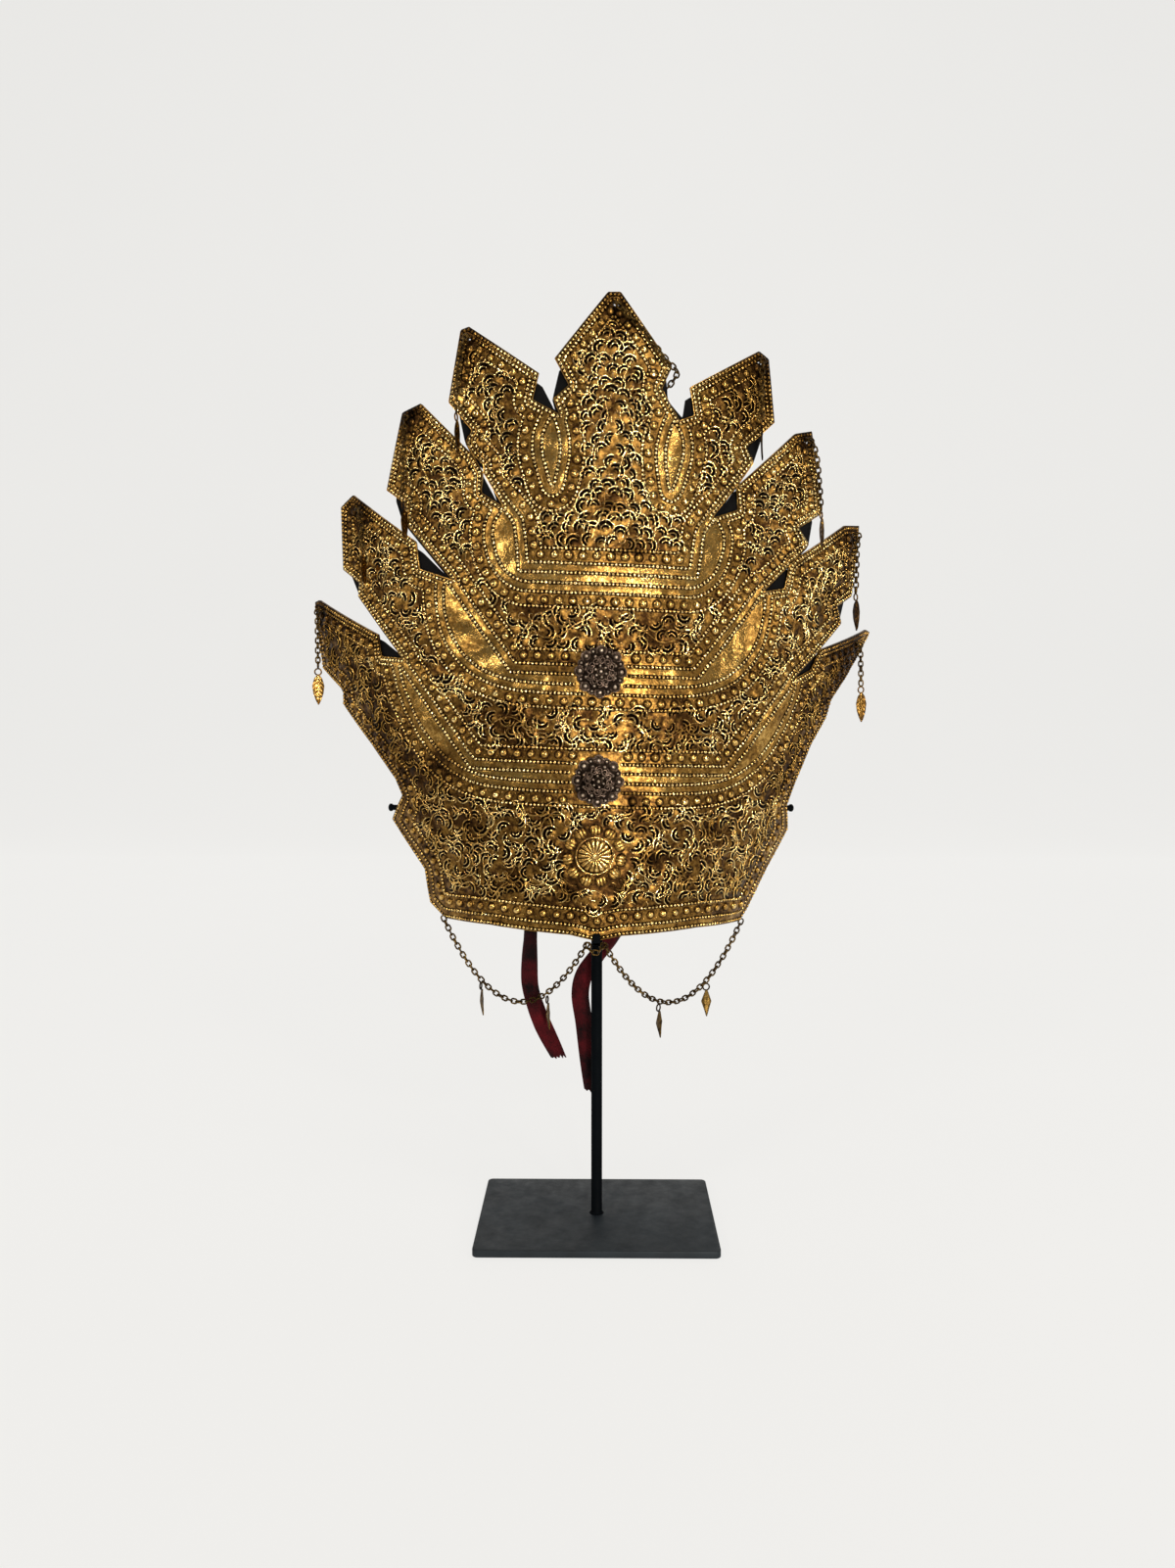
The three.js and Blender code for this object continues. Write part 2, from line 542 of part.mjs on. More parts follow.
function rosette(across, rise) {
  const plateRadius = ROSETTE_RADIUS - ROSETTE_RIM;
  const plate = new THREE.CylinderGeometry(plateRadius, plateRadius, ROSETTE_PLATE, ROSETTE_SIDES)
    .rotateX(Math.PI / 2).translate(0, 0, ROSETTE_PLATE / 2);
  const solids = [plate, dome(ROSETTE_HEART)];
  const ring = ROSETTE_RADIUS - ROSETTE_LOBE.radius;
  for (let k = 0; k < ROSETTE_LOBES; k += 1) {
    const angle = (2 * Math.PI * k) / ROSETTE_LOBES;
    solids.push(dome(ROSETTE_LOBE).translate(ring * Math.cos(angle), ring * Math.sin(angle), 0));
  }
  const below = 4 * ROSETTE_RADIUS;
  const floor = toSolid(new THREE.BoxGeometry(below, below, below).translate(0, 0, -below / 2));
  const { points, faces } = fromSolid(join(solids).subtract(floor));
  return toGeometry(points, faces).applyMatrix4(frameOn(across, rise, SHEET_THICK + BAND_RAISE + GAP));
}

function ringShape(radius, sides) {
  return new THREE.Shape(Array.from({ length: sides }, (_, k) => {
    const angle = (2 * Math.PI * k) / sides;
    return new THREE.Vector2(radius * Math.cos(angle), radius * Math.sin(angle));
  }));
}

function tube(line, radius, sides, steps) {
  return new THREE.ExtrudeGeometry(ringShape(radius, sides), {
    steps,
    extrudePath: new THREE.CatmullRomCurve3(line, false, 'centripetal'),
    bevelEnabled: false,
  });
}

// A tip chain goes through its hole, over the edge of the hole and down
function chainLine({ across, rise, length, drift, turn, over }) {
  const behind = crownPoint(across, rise, -CHAIN_BEHIND);
  if (over) return [behind, ...over.map((row) => crownPoint(row.across, row.rise, row.out))];
  const front = crownPoint(across, rise, CHAIN_STANDOFF);
  const inward = Math.max(0, -Math.sign(across) * drift);
  const leafReach = (LEAF_WIDTH / 2) * Math.sin(THREE.MathUtils.degToRad(turn));
  const forward = inward * Math.tan(Math.abs(across) / radiusAt(rise)) + leafReach;
  const end = front.clone().add(new THREE.Vector3(drift, -forward, -length));
  const bows = CHAIN_BOWS.map(({ share, bow }) => (
    front.clone().lerp(end, share).add(new THREE.Vector3(bow * drift, -bow * forward, 0))
  ));
  return [behind, front, ...bows, end];
}

function tidy(geometry) {
  const { points, faces } = weld(geometry);
  return toGeometry(points, faces);
}

// A flat drop on its ring: the ring's top is the origin
function drop(outline, turn) {
  const ringTop = RING_RADIUS + RING_WIRE;
  const ring = new THREE.TorusGeometry(RING_RADIUS, RING_WIRE, RING_WIRE_SIDES, RING_SIDES)
    .translate(0, -ringTop, 0);
  const flat = { depth: LEAF_THICK, bevelEnabled: false };
  const blade = new THREE.ExtrudeGeometry(new THREE.Shape(outline), flat)
    .translate(0, -2 * RING_RADIUS - RING_WIRE, -LEAF_THICK / 2);
  const { points, faces } = fromSolid(join([ring, blade]));
  return toGeometry(points, faces).rotateX(Math.PI / 2).rotateZ(THREE.MathUtils.degToRad(turn));
}

const LEAF_SHAPE = [
  { half: 0.12, down: 0 }, { half: 0.34, down: 0.12 }, { half: 0.5, down: 0.36 }, { half: 0.42, down: 0.62 },
  { half: 0.22, down: 0.85 },
];
const LOZENGE_SHAPE = [{ half: 0.12, down: 0 }, { half: 0.5, down: 0.42 }];

function dropOutline(rows, width, length) {
  const right = rows.map(({ half, down }) => new THREE.Vector2(half * width, -down * length));
  const left = right.map(({ x, y }) => new THREE.Vector2(-x, y));
  return [...left, new THREE.Vector2(0, -length), ...right.reverse()];
}

function addTipChains() {
  for (const tip of TIPS) {
    const line = chainLine(tip);
    const steps = Math.ceil(tip.length / CHAIN_STEP) + CHAIN_END_STEPS;
    addNode(`tip_chain_${tip.name}`, 'darkBrass', tidy(tube(line, CHAIN_RADIUS, CHAIN_SIDES, steps)));
    const end = line[line.length - 1];
    const leaf = drop(dropOutline(LEAF_SHAPE, LEAF_WIDTH, LEAF_LENGTH), tip.turn);
    addNode(`leaf_${tip.name}`, 'gilt', leaf.translate(end.x, end.y, end.z - GAP));
  }
}

// A hem chain sags as a parabola between the hem's end and its middle
function swagPoint({ side, across, rise }, share) {
  const end = crownPoint(across, rise, SWAG_STANDOFF);
  const middle = crownPoint(side * SWAG_MIDDLE_ACROSS, 0, SWAG_MIDDLE_OUT);
  middle.z -= SWAG_MIDDLE_DROP;
  const point = end.lerp(middle, share);
  point.z -= 4 * SWAG_SAG * share * (1 - share);
  return point;
}

function addSwags() {
  for (const swag of SWAGS) {
    const line = Array.from({ length: SWAG_POINTS + 1 }, (_, k) => swagPoint(swag, k / SWAG_POINTS));
    addNode(swag.name, 'darkBrass', tidy(tube(line, CHAIN_RADIUS, CHAIN_SIDES, SWAG_STEPS)));
  }
  for (const { name, side, share, turn } of LOZENGES) {
    const place = swagPoint(SWAGS.find((swag) => swag.side === side), share);
    const lozenge = drop(dropOutline(LOZENGE_SHAPE, LOZENGE_WIDTH, LOZENGE_LENGTH), turn);
    addNode(name, 'darkBrass', lozenge.translate(place.x, place.y, place.z - LOZENGE_DROP));
  }
}

// A flat strip of cloth along a line, facing the way the sheet does where it is sewn
function tie({ width, sewn, fall }) {
  const behind = -BACKING_GAP - BACKING_THICK - TIE_SEAT - TIE_THICK / 2;
  const seats = sewn.map(({ across, rise }) => crownPoint(across, rise, behind));
  const line = [...seats, ...fall.map(({ x, y, z }) => new THREE.Vector3(x, y, z))];
  const places = new THREE.CatmullRomCurve3(line).getSpacedPoints(TIE_STEPS * (line.length - 1));
  const points = [];
  const faces = [];
  const depth = skinNormal(sewn[0].across, sewn[0].rise).transformDirection(seat).negate();
  places.forEach((place, k) => {
    const next = places[Math.min(k + 1, places.length - 1)];
    const along = next.clone().sub(places[Math.max(k - 1, 0)]).normalize();
    const broad = along.clone().cross(depth).normalize().multiplyScalar(width / 2);
    const thick = broad.clone().cross(along).normalize().multiplyScalar(TIE_THICK / 2);
    for (const [b, t] of [[1, 1], [-1, 1], [-1, -1], [1, -1]]) {
      points.push(place.clone().addScaledVector(broad, b).addScaledVector(thick, t).toArray());
    }
    if (!k) return;
    for (let c = 0; c < 4; c += 1) {
      const [a, b] = [4 * (k - 1) + c, 4 * (k - 1) + ((c + 1) % 4)];
      faces.push([a, b, b + 4], [a, b + 4, a + 4]);
    }
  });
  const last = points.length - 4;
  faces.push([0, 2, 1], [0, 3, 2], [last, last + 1, last + 2], [last, last + 2, last + 3]);
  return toGeometry(points, faces);
}

// Outward faces, whichever way the lists run
function facingOut(geometry) {
  const { points, faces } = weld(geometry);
  const volume = faces.reduce((sum, face) => {
    const [a, b, c] = face.map((k) => new THREE.Vector3(...points[k]));
    return sum + a.dot(b.cross(c)) / 6;
  }, 0);
  return toGeometry(points, volume < 0 ? faces.map(([a, b, c]) => [a, c, b]) : faces);
}

function rod(from, to, radius) {
  const along = to.clone().sub(from);
  const upright = new THREE.Vector3(0, 1, 0);
  const turn = new THREE.Quaternion().setFromUnitVectors(upright, along.clone().normalize());
  return new THREE.CylinderGeometry(radius, radius, along.length(), ARM_SIDES)
    .applyQuaternion(turn).translate(...from.clone().add(to).multiplyScalar(0.5).toArray());
}

function roundedPlate(width, depth, corner) {
  const [x, y] = [width / 2, depth / 2];
  const shape = new THREE.Shape();
  shape.moveTo(-x + corner, -y);
  shape.lineTo(x - corner, -y);
  shape.absarc(x - corner, -y + corner, corner, -Math.PI / 2, 0);
  shape.absarc(x - corner, y - corner, corner, 0, Math.PI / 2);
  shape.absarc(-x + corner, y - corner, corner, Math.PI / 2, Math.PI);
  shape.absarc(-x + corner, -y + corner, corner, Math.PI, 1.5 * Math.PI);
  return shape;
}

// Stand: base, post, the hook under the hem and the arms out to the side notches
function stand() {
  const base = new THREE.ExtrudeGeometry(roundedPlate(BASE_WIDTH, BASE_DEPTH, BASE_CORNER), {
    depth: BASE_THICK, bevelEnabled: false, curveSegments: BASE_CORNER_STEPS,
  });
  const postFoot = BASE_THICK - SINK;
  const post = new THREE.CylinderGeometry(POST_RADIUS, POST_RADIUS, POST_TOP - postFoot, POST_SIDES)
    .rotateX(Math.PI / 2).translate(0, 0, (POST_TOP + postFoot) / 2);
  const hem = crownPoint(0, 0, SHEET_THICK + BAND_RAISE);
  const under = hem.z - HOOK_CLEAR;
  const lipFront = hem.y - GAP - HOOK_THICK;
  const tray = new THREE.BoxGeometry(HOOK_WIDTH, -lipFront, HOOK_THICK)
    .translate(0, lipFront / 2, under - HOOK_THICK / 2);
  const lip = new THREE.BoxGeometry(HOOK_WIDTH, HOOK_THICK, HOOK_LIP)
    .translate(0, lipFront + HOOK_THICK / 2, under - HOOK_THICK + HOOK_LIP / 2);
  const arms = ARMS.map(({ across, rise }) => {
    const notch = crownPoint(across, rise, 0);
    const from = new THREE.Vector3(0, 0, notch.z);
    const beyond = notch.clone().sub(from).normalize().multiplyScalar(ARM_PAST_SHEET);
    return rod(from, notch.add(beyond), ARM_RADIUS);
  });
  const { points, faces } = fromSolid(join([base, post, tray, lip, ...arms]));
  return toGeometry(points, faces);
}

addNode('stand', 'blackMetal', stand());
addNode('crown_plate', 'gilt', crownPlate());
addNode('crown_backing', 'cloth', crownBacking());
for (const { name, across, rise } of ROSETTES) addNode(name, 'oxidised', rosette(across, rise));
addTipChains();
addSwags();
for (const row of TIES) addNode(row.name, 'redCloth', facingOut(tie(row)));

export default part;
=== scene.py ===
"""Ceremonial crown on its stand: embossed gilt sheet, filigree rosettes, chains with leaves, cloth ties."""
import math

import bpy
import numpy as np
from mathutils import Matrix, Vector, geometry


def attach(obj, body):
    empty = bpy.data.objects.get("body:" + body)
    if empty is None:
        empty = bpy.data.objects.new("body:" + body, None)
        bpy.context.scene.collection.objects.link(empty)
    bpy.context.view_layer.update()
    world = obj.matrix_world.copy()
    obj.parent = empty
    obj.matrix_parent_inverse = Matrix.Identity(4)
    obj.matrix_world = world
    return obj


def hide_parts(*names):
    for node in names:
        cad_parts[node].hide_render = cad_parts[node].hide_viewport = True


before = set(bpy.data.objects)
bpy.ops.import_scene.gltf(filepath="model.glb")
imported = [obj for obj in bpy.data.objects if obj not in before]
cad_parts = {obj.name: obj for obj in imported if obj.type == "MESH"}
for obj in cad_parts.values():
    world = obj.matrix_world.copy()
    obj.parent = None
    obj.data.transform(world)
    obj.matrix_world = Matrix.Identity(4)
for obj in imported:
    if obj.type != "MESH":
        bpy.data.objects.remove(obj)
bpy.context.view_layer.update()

# All sizes are in millimetres until a mesh is made
MM = 0.001
BODY = "root"

# Camera: its focal length in pixels of the picture, its place and its turn
PICTURE_HIGH = 1601
FOCAL_PIXELS = 1143
SENSOR = 36
CAMERA_PLACE = (1.3, -611.0, 282.0)
CAMERA_PITCH = 3.53
CAMERA_PAN = 0.6

# How the crown sits on the stand, and the bend of its sheet
HEM_HEIGHT = 159.5
FRONT_Y = -16
YAW = 4.5
ROLL = 1.9
HEM_RADIUS = 105
LIMIT_RADIUS = 300
RADIUS_RISE = 265
BELLY_RISE = 150
HEM_SETBACK = 8
TIP_SETBACK = 6
CROWN_RISE = 345
SHEET_THICK = 1.0
BAND_RAISE = 0.8
GAP = 0.3
BACKING_FRONT = -0.8
BACKING_THICK = 2.4
HOLE_RADIUS = 1.8

# Outlines from the centre tip to the hem, right side and left side:
# across along the sheet, rise above the hem
OUTLINE = [
    (1.4, 343.5), (29.9, 306.3), (24.7, 294.6), (28.1, 289.3), (34.8, 278.8), (42.9, 282.4), (39.9, 296.8),
    (79.4, 321), (85.7, 317.6), (91, 284.3), (74.3, 268.8), (78.8, 261), (55.2, 229.4), (70.2, 235.1),
    (68.7, 247.3), (105.4, 280.5), (117.3, 283.7), (128.5, 239.7), (111.8, 230), (120.2, 221.8),
    (89.1, 193), (103.7, 195.8), (106.5, 210.6), (150.4, 236.2), (165.3, 238.2), (165.8, 197.4),
    (150.9, 190.3), (157.5, 181), (115.8, 146.1), (131, 152.5), (138, 164.5), (195.1, 180.3),
    (204.1, 179.6), (174.2, 150), (158.2, 135.9), (155.7, 125.3), (142.5, 109.5), (131, 86), (126.5, 73.5),
    (135, 58.9), (118.4, 35.4), (106.5, 12), (101.5, 5), (60, 5.6), (14, 2.9), (0, 0),
]
OUTLINE_LEFT = [
    (5.2, 343.1), (32.1, 307.6), (24.2, 294), (32.2, 286.8), (28.6, 278.7), (43, 286.2), (40, 299.9),
    (78.6, 325.1), (83.3, 323.6), (89.3, 285.9), (75.5, 270.4), (79.2, 264.8), (57.1, 230.4), (69.2, 237.9),
    (68.5, 252.2), (105.7, 286.4), (117.4, 282.3), (127.4, 241.4), (114.2, 233.2), (116.4, 225.5),
    (85, 192.2), (105, 198.3), (107.6, 213), (152.3, 240.9), (162.7, 235), (162.4, 200.2), (149, 192.4),
    (150.2, 184.9), (117, 150.2), (132.5, 151.3), (134.6, 163.3), (189.8, 184.7), (195.8, 183.8),
    (195.7, 145.1), (171.8, 132), (174, 124), (146.4, 101.4), (126.6, 82.6), (121.7, 73.4), (134.5, 58.5),
    (108, 31.7), (107.5, 11.5), (94.6, 4), (60, 4.8), (14, 2.9),
]
BACKING = [
    (8, 320.5), (27.5, 300.8), (28.8, 289.3), (37.3, 280.8), (38.5, 291), (68.9, 305.5), (82.3, 298.4),
    (85.9, 279), (79.8, 261), (59.4, 232.1), (66.8, 243.5), (94.8, 263.9), (113.9, 265.7), (124.2, 234.8),
    (122.2, 220.8), (93.4, 194.8), (104, 205), (139.5, 222.8), (159.6, 220.8), (161.7, 193.9),
    (158.8, 180.5), (119.5, 147.7), (137, 160.7), (172, 168), (184, 166.5), (168, 149.5), (153.7, 124.3),
    (138.5, 108.5), (124, 87), (115, 74), (130, 57), (114.4, 35.8), (102.5, 14), (98, 8.6), (60, 9), (0, 6),
]
BACKING_LEFT = [
    (11.8, 320.1), (29.7, 302.1), (32.9, 286.8), (31.1, 280.7), (38.6, 294.1), (68.1, 309.6), (79.9, 304.4),
    (84.2, 280.6), (80.2, 264.8), (61.3, 233.1), (66.6, 248.4), (95.1, 269.8), (114, 264.3), (123.1, 236.5),
    (118.4, 224.5), (89.3, 194), (105.1, 207.4), (141.4, 227.5), (157, 217.6), (158.3, 196.7),
    (151.5, 184.4), (120.7, 151.8), (133.6, 159.5), (175.6, 174.5), (185.8, 167.8), (187.7, 143.6),
    (172, 123), (142.4, 100.4), (119.5, 84), (111, 73.5), (129, 56), (104, 32.1), (103.5, 13.5),
    (91.4, 7.8), (60, 8.2),
]

# Plain panels of the tiers, right half: their upper border runs from the valley by the kink to the middle,
# and their lower border hangs below it
TIERS = [
    {
        "upper": [(57, 229.5), (51, 222), (49.5, 213), (47.8, 196.7), (0, 196.5)],
        "lower": [(57.6, 229), (62, 221), (61.8, 211), (57, 199.5), (48, 192.4), (36, 191.3), (0, 191.2)],
    },
    {
        "upper": [(88.2, 191.5), (50.6, 143.7), (0, 143.5)],
        "lower": [
            (88.8, 191.5), (90, 186), (88, 171), (82, 158), (69, 146), (52, 140), (36, 138.5), (0, 138.3),
        ],
    },
    {
        "upper": [(118.8, 147), (72.5, 91.7), (0, 91.5)],
        "lower": [(119.2, 147), (115.5, 134), (106.5, 117), (92, 100), (71, 89.4), (50, 86.6), (0, 86.2)],
    },
]
TEARDROP = [(32, 279), (36.6, 270), (37.4, 261), (35, 251), (31.2, 241), (28.6, 251), (27.6, 261), (29, 270)]
PANEL_CURVE_STEPS = 4

# Borders, by distance from the edge of a panel; the outer one is wider low down and narrower above
EDGE_BEADS = 1.5
EDGE_SHARES = [(60, 0.85), (110, 1.25)]
STRIP_WIDTH = 5.0
STRIP_INSET = 0.2
STRIP_RAISE = 0.3
BOSS_LINE = 9.2
INNER_BEADS = 12.6
FOLIAGE_FROM = 13.6
BAND_LIFT = 0.15
BAND_EASE = 1
PANEL_RAISE = 0.35
PANEL_ROUND = 1.6
# Tones of the ground: lower in the bands and lowest in the foliage, painted shade on the ground among their
# relief
STRIP_TONE = 0.58
BAND_TONE = 0.47
FOLIAGE_TONE = 0.32
PANEL_TONE = 0.64

# Shapes: helper direction that starts a wire's section, painted shade at the feet of domes, and depth and
# painted shade of the feet of round forms
SWEEP_SIDE = (0.31, 0.47, 0.83)
FOOT_SHADE = 0.4
POLAR_FOOT = 0.3
POLAR_FOOT_SHADE = 0.1

# Angles past which edges stay sharp, in degrees
SHARP = {"plate": 50, "backing": 60, "drop": 60, "tie": 70, "stand": 40}

# Grid of the layout, and steps of the meshes of the sheet and the backing, front and back
GRID_STEP = 0.75
GRID_LOW = np.array([-210.0, -4.0])
GRID_SHAPE = (562, 472)
ROW_SHARE = 0.87
PLATE_STEPS = (1.15, 9.0)
PLATE_BACK_TONE = 0.3
BACKING_STEPS = (2.6, 2.9)
BACKING_EASE = 0.7
BACKING_ROUND = 2.0
# Room left round rims and holes, as shares of a step or of the radius
HOLE_SIDES = 12
RIM_ROOM = 0.55
HOLE_ROOM = 0.5
HOLE_SHARE = 0.97
# Small numbers: nearness of merged points, least length, digits, way in from the grid's end, least line
MERGE = 1e-6
TINY = 1e-9
DIGITS = 6
GRID_INSIDE = 0.001
CONTOUR_LEAST = 4

# Shallow dents over the whole sheet; the slope is that of one wave
DENT_WAVES = 40
DENT_LENGTHS = (7, 22)
DENT_SLOPE = 0.0026
DENT_EDGE = 4
DENT_SEED = 5

# Domes of the relief: radius, height, sides, rings, depth of the foot, tones at foot and top; the tones are
# painted shade at the foot and painted highlight on top
BEAD = (0.98, 0.78, 6, 2, 0.1, 0.8, 1.05)
BOSS = (2.1, 1.5, 12, 4, 0.1, 0.15, 0.92)
# Under each boss a flat, wide dome painted dark: painted shade round its foot
BOSS_SHADE_DISC = (2.75, 0.14, 12, 1, 0.1, 0.36, 0.36)
BOSS_GRAIN = (0.5, 0.5, 6, 2, 0.3, 0.25, 0.8)
# Rows of beads and bosses: pitch, sizes drawn between two ends, room to the edge and to what covers them
BEAD_PITCH = 2.2
BEAD_SIZES = (0.86, 1.1)
BEAD_EDGE = 0.7
BEAD_COVER = 1
BOSS_PITCH = 7.4
BOSS_SIZES = (0.9, 1.1)
BOSS_TO_FLOWER = 2
BOSS_TO_ROSETTE = 1
GRAIN_OUT = 1.9

# Ridges of the relief: half width, height, depth of the foot, tones at foot and top, which paint shade at the
# foot and a highlight along the top
# A low strip under each row of beads, dark all over: painted shade along the beads
BEAD_SHADE_STRIP = (1.05, 0.16, -0.1, 0.16, 0.16)
STEM = (0.5, 0.9, 0.3, 0.4, 1.0)
CURL = (0.36, 0.75, 0.1, 0.35, 1.0)
# Ridges of a crescent and the painted shade in its hollows, from its rim inwards: radius, then the same
# columns
CRESCENT = [
    (4.20, 0.56, 0.95, 0.10, 0.50, 1.15),
    (3.10, 0.95, 0.24, -0.08, -0.40, -0.40),
    (2.10, 0.42, 0.85, 0.10, 0.50, 1.15),
    (1.30, 0.72, 0.24, -0.08, -0.40, -0.40),
]
# How ridges thin out at their ends: share of the length left off, power
LEAF_TAPER = (0.06, 0.6)
STEM_TAPER = (0.05, 0.5)

# Crescents of the foliage, and the swelling of the sheet under them, painted lighter as a highlight
CRESCENT_PITCH = 6.8
CRESCENT_SCATTER = 2.6
CRESCENT_ROOM = 0.3
CRESCENT_SIZES = (0.9, 1.15)
CRESCENT_SPAN = 190
CRESCENT_STRAY = 1.2
CRESCENT_STEPS = 9
SWELL_REACH = 2.6
SWELL_CUT = 2.5
SWELL_RAISE = 0.75
SWELL_HIGHLIGHT = 0.14
# Lean of the upper crescents: outwards, and swaying over across and rise
LEAN_OUT = 0.35
LEAN_SWAY = 0.75
LEAN_ACROSS = 8.5
LEAN_SHIFT = 1.1
LEAN_RISE = 13

# Scrolls below, vines along the bands, stems above, and curls between
SCROLL_PITCH = 23
SCROLL_SCATTER = 5
SCROLL_TWIST = 0.7
SCROLL_BELOW = 188
SCROLL_RADIUS = 10.6
SCROLL_TURN = 1.3 * math.pi
SCROLL_NARROWING = 0.25
SCROLL_POINTS = 30
VINE_RISES = (167, 115)
VINE_SWAY = 5
VINE_WAVE = 6.5
VINE_POINTS = 260
STEM_PITCH = 13.5
STEM_SWAY = 3.2
STEM_WAVE = 7
STEM_LENGTH = 26
STEM_SHARE = 0.94
STEM_POINTS = 22
STEM_LEAST = 7
STEM_ROOM = 0.3
CURL_PITCH = 8.0
CURL_RADIUS = 1.5
CURL_SPAN = 210
CURL_STEPS = 6
CURL_SIZES = (0.7, 1.3)
CURL_ROOM = 0.4
# Shares of plain panel up to which beads, bosses and foliage go
PLAIN_HALF = 0.5
PLAIN_LITTLE = 0.1
PLAIN_NONE = 0.01

# Wear and painted shade: loss of gold and painted shade away from the bright middle, tarnish at the tips, and
# dark patches
SHADE_AND_WEAR_MIDDLE = (10, 180)
SHADE_AND_WEAR_FLATTEN = 0.9
SHADE_AND_WEAR_REACH = (95, 215)
SHADE_AND_WEAR_LOSS = 0.26
TIP_TARNISH = 0.6
TIP_TARNISH_REACH = 11
# Dark patches, some of them stains and some painted shade laid over bright highlights: across, rise, loss of
# gold and shade, reach
STAIN_AND_SHADE_PATCHES = [
    (-16, 29, 0.6, 6), (12, 33, 0.5, 6), (26, 47, 0.55, 6), (24, 68, 0.45, 8), (48, 35, 0.5, 6),
    (-46, 30, 0.45, 8), (-70, 60, 0.4, 9), (64, 62, 0.5, 7), (-30, 66, 0.4, 8), (0, 232, 0.5, 6),
    (-18, 214, 0.45, 6), (14, 210, 0.4, 7), (-28, 165, 0.4, 8), (26, 166, 0.35, 8), (-52, 118, 0.35, 9),
    (44, 116, 0.4, 8), (-90, 90, 0.4, 12), (165, 148, 0.5, 30), (-170, 150, 0.25, 26), (76, 295, 0.3, 24),
    (-114, 281, 0.6, 9), (132, 95, 0.35, 28), (-130, 92, 0.35, 26), (0, 145, 0.25, 17), (0, 88, 0.3, 17),
    (32, 166, 0.18, 20), (-32, 166, 0.15, 18), (32, 140, 0.14, 18), (32, 113, 0.24, 22),
    (-32, 113, 0.2, 20), (14, 77, 0.45, 7), (175, 160, 0.3, 16),
]

# Flower raised near the hem
FLOWER = (-2.4, 47)
FLOWER_REACH = 18.5
FLOWER_GROUND = 0.1
FLOWER_SHADE = 0.9
HEART_RADIUS = 8.8
HEART_PETALS = 18
HEART_EYE = 0.16
HEART_EYE_HEIGHT = 2.1
HEART_EYE_TONE = 0.9
HEART_HEIGHT = 1.2
HEART_SWELL = 0.6
HEART_FOLD = 0.6
# Tones of the heart and the pads follow their folds and grooves: painted shade in the valleys, painted
# highlight on the crests and the raised eye
HEART_FOLD_SHADE = -0.1
PADS = 11
PAD_RING = 14.3
PAD_SIZE = (3.1, 3.8)
PAD_HEIGHT = 1.9
PAD_GROOVES = 4
PAD_FALL = 0.85
PAD_FOLD = 0.7
PAD_SHADE_AND_HIGHLIGHT = (0.05, 0.9)
PAD_RIM_SHADE = 0.7
# Rings round the heart: radius, then the columns of a ridge; the inner ring is a dark ring of painted shade
FLOWER_RINGS = [(9.2, 0.6, 0.3, 0.1, -0.2, -0.2), (10.0, 0.6, 1.4, 0.1, 0.3, 1.0)]
FLOWER_RING_SIDES = 96
FOLD_POWER = 0.5
# Rings and spokes of the meshes
HEART_MESH = (10, 8 * HEART_PETALS)
PAD_MESH = (7, 48)

# Rosettes applied above the flower, each a domed plate with rings, coils and grains on it
ROSETTES = {"rosette_upper": (-3, 145.2), "rosette_lower": (-2.3, 87.6)}
ROSETTE_RADIUS = 14.8
ROSETTE_INSET = 2.2
ROSETTE_LIFT = 0.3
ROSETTE_LOBES = 12
LOBE_RAISE = 0.5
ROSETTE_RIM = 0.4
ROSETTE_DOME = 3.2
ROSETTE_POWER = 1.2
ROSETTE_TONES = (0.1, 0.3)
ROSETTE_MESH = (12, 72)
RING_STEPS = 24
WIRE_SIDES = 6
# Rings: how many round the middle, angle of the first, distance out, height, radius, wire, tone
ROSETTE_RINGS = [
    (8, 0, 11.0, 1.2, 2.6, 0.5, 0.85),
    (8, 0, 11.0, 1.9, 1.75, 0.42, 0.6),
    (8, math.pi / 8, 11.2, 1.0, 1.6, 0.42, 0.7),
    (1, 0, 0, 4.0, 1.9, 0.4, 0.6),
]
# Grains: how many round the middle, angle of the first, distance out, height, radius
ROSETTE_GRAINS = [
    (8, 0, 11.0, 1.9, 1.15),
    (8, math.pi / 8, 11.2, 1.1, 0.7),
    (8, math.pi / 8, 8.3, 2.7, 0.75),
    (6, 0.7, 3.0, 4.1, 0.62),
    (1, 0, 0, 4.1, 0.9),
]
GRAIN_MESH = (10, 4)
GRAIN_RISE = 1.2
GRAIN_SINK = 0.6
# Grains: painted shade at the foot and painted highlight on top
GRAIN_SHADE_AND_HIGHLIGHT = (0.25, 1.0)
# Pairs of coils, wound to both sides; the radii are that of the inner end and its growth
COILS = 6
COIL_FIRST = 0.2
COIL_LEAN = 0.27
COIL_OUT = 6.0
COIL_RADII = (0.5, 1.75)
COIL_TURN = 3.3 * math.pi
COIL_TOP = 4.75
COIL_FALL = 0.14
COIL_WIRE = 0.36
COIL_TONE = 0.95
COIL_POINTS = 34

# Chains at the tips: hole, length, drift of the end to the right, turn of the leaf, tone of the leaf
TIPS = {
    "l4": (-187.5, 178.5, 33, 0, 15, 0.95),
    "l3": (-146, 232.5, 22, 4, 75, 0.6),
    "l2": (-113.3, 279, 45, -1, 70, 0.5),
    "l1": (-79, 319, 40, -5, 75, 0.5),
    "c": (-1, 337, 62, 0, 0, 0.5),
    "r1": (80, 315.5, 32, -1, 80, 0.4),
    "r2": (113.5, 278, 39, 6, 60, 0.6),
    "r3": (160.5, 232.5, 34, -2, 45, 0.25),
    "r4": (179.5, 171, 25, 1, 20, 0.65),
}
# Bends of a tip chain: share of its way down, share of the drift that comes early
TIP_BENDS = [(0.2, 0.3), (0.6, 0.2)]
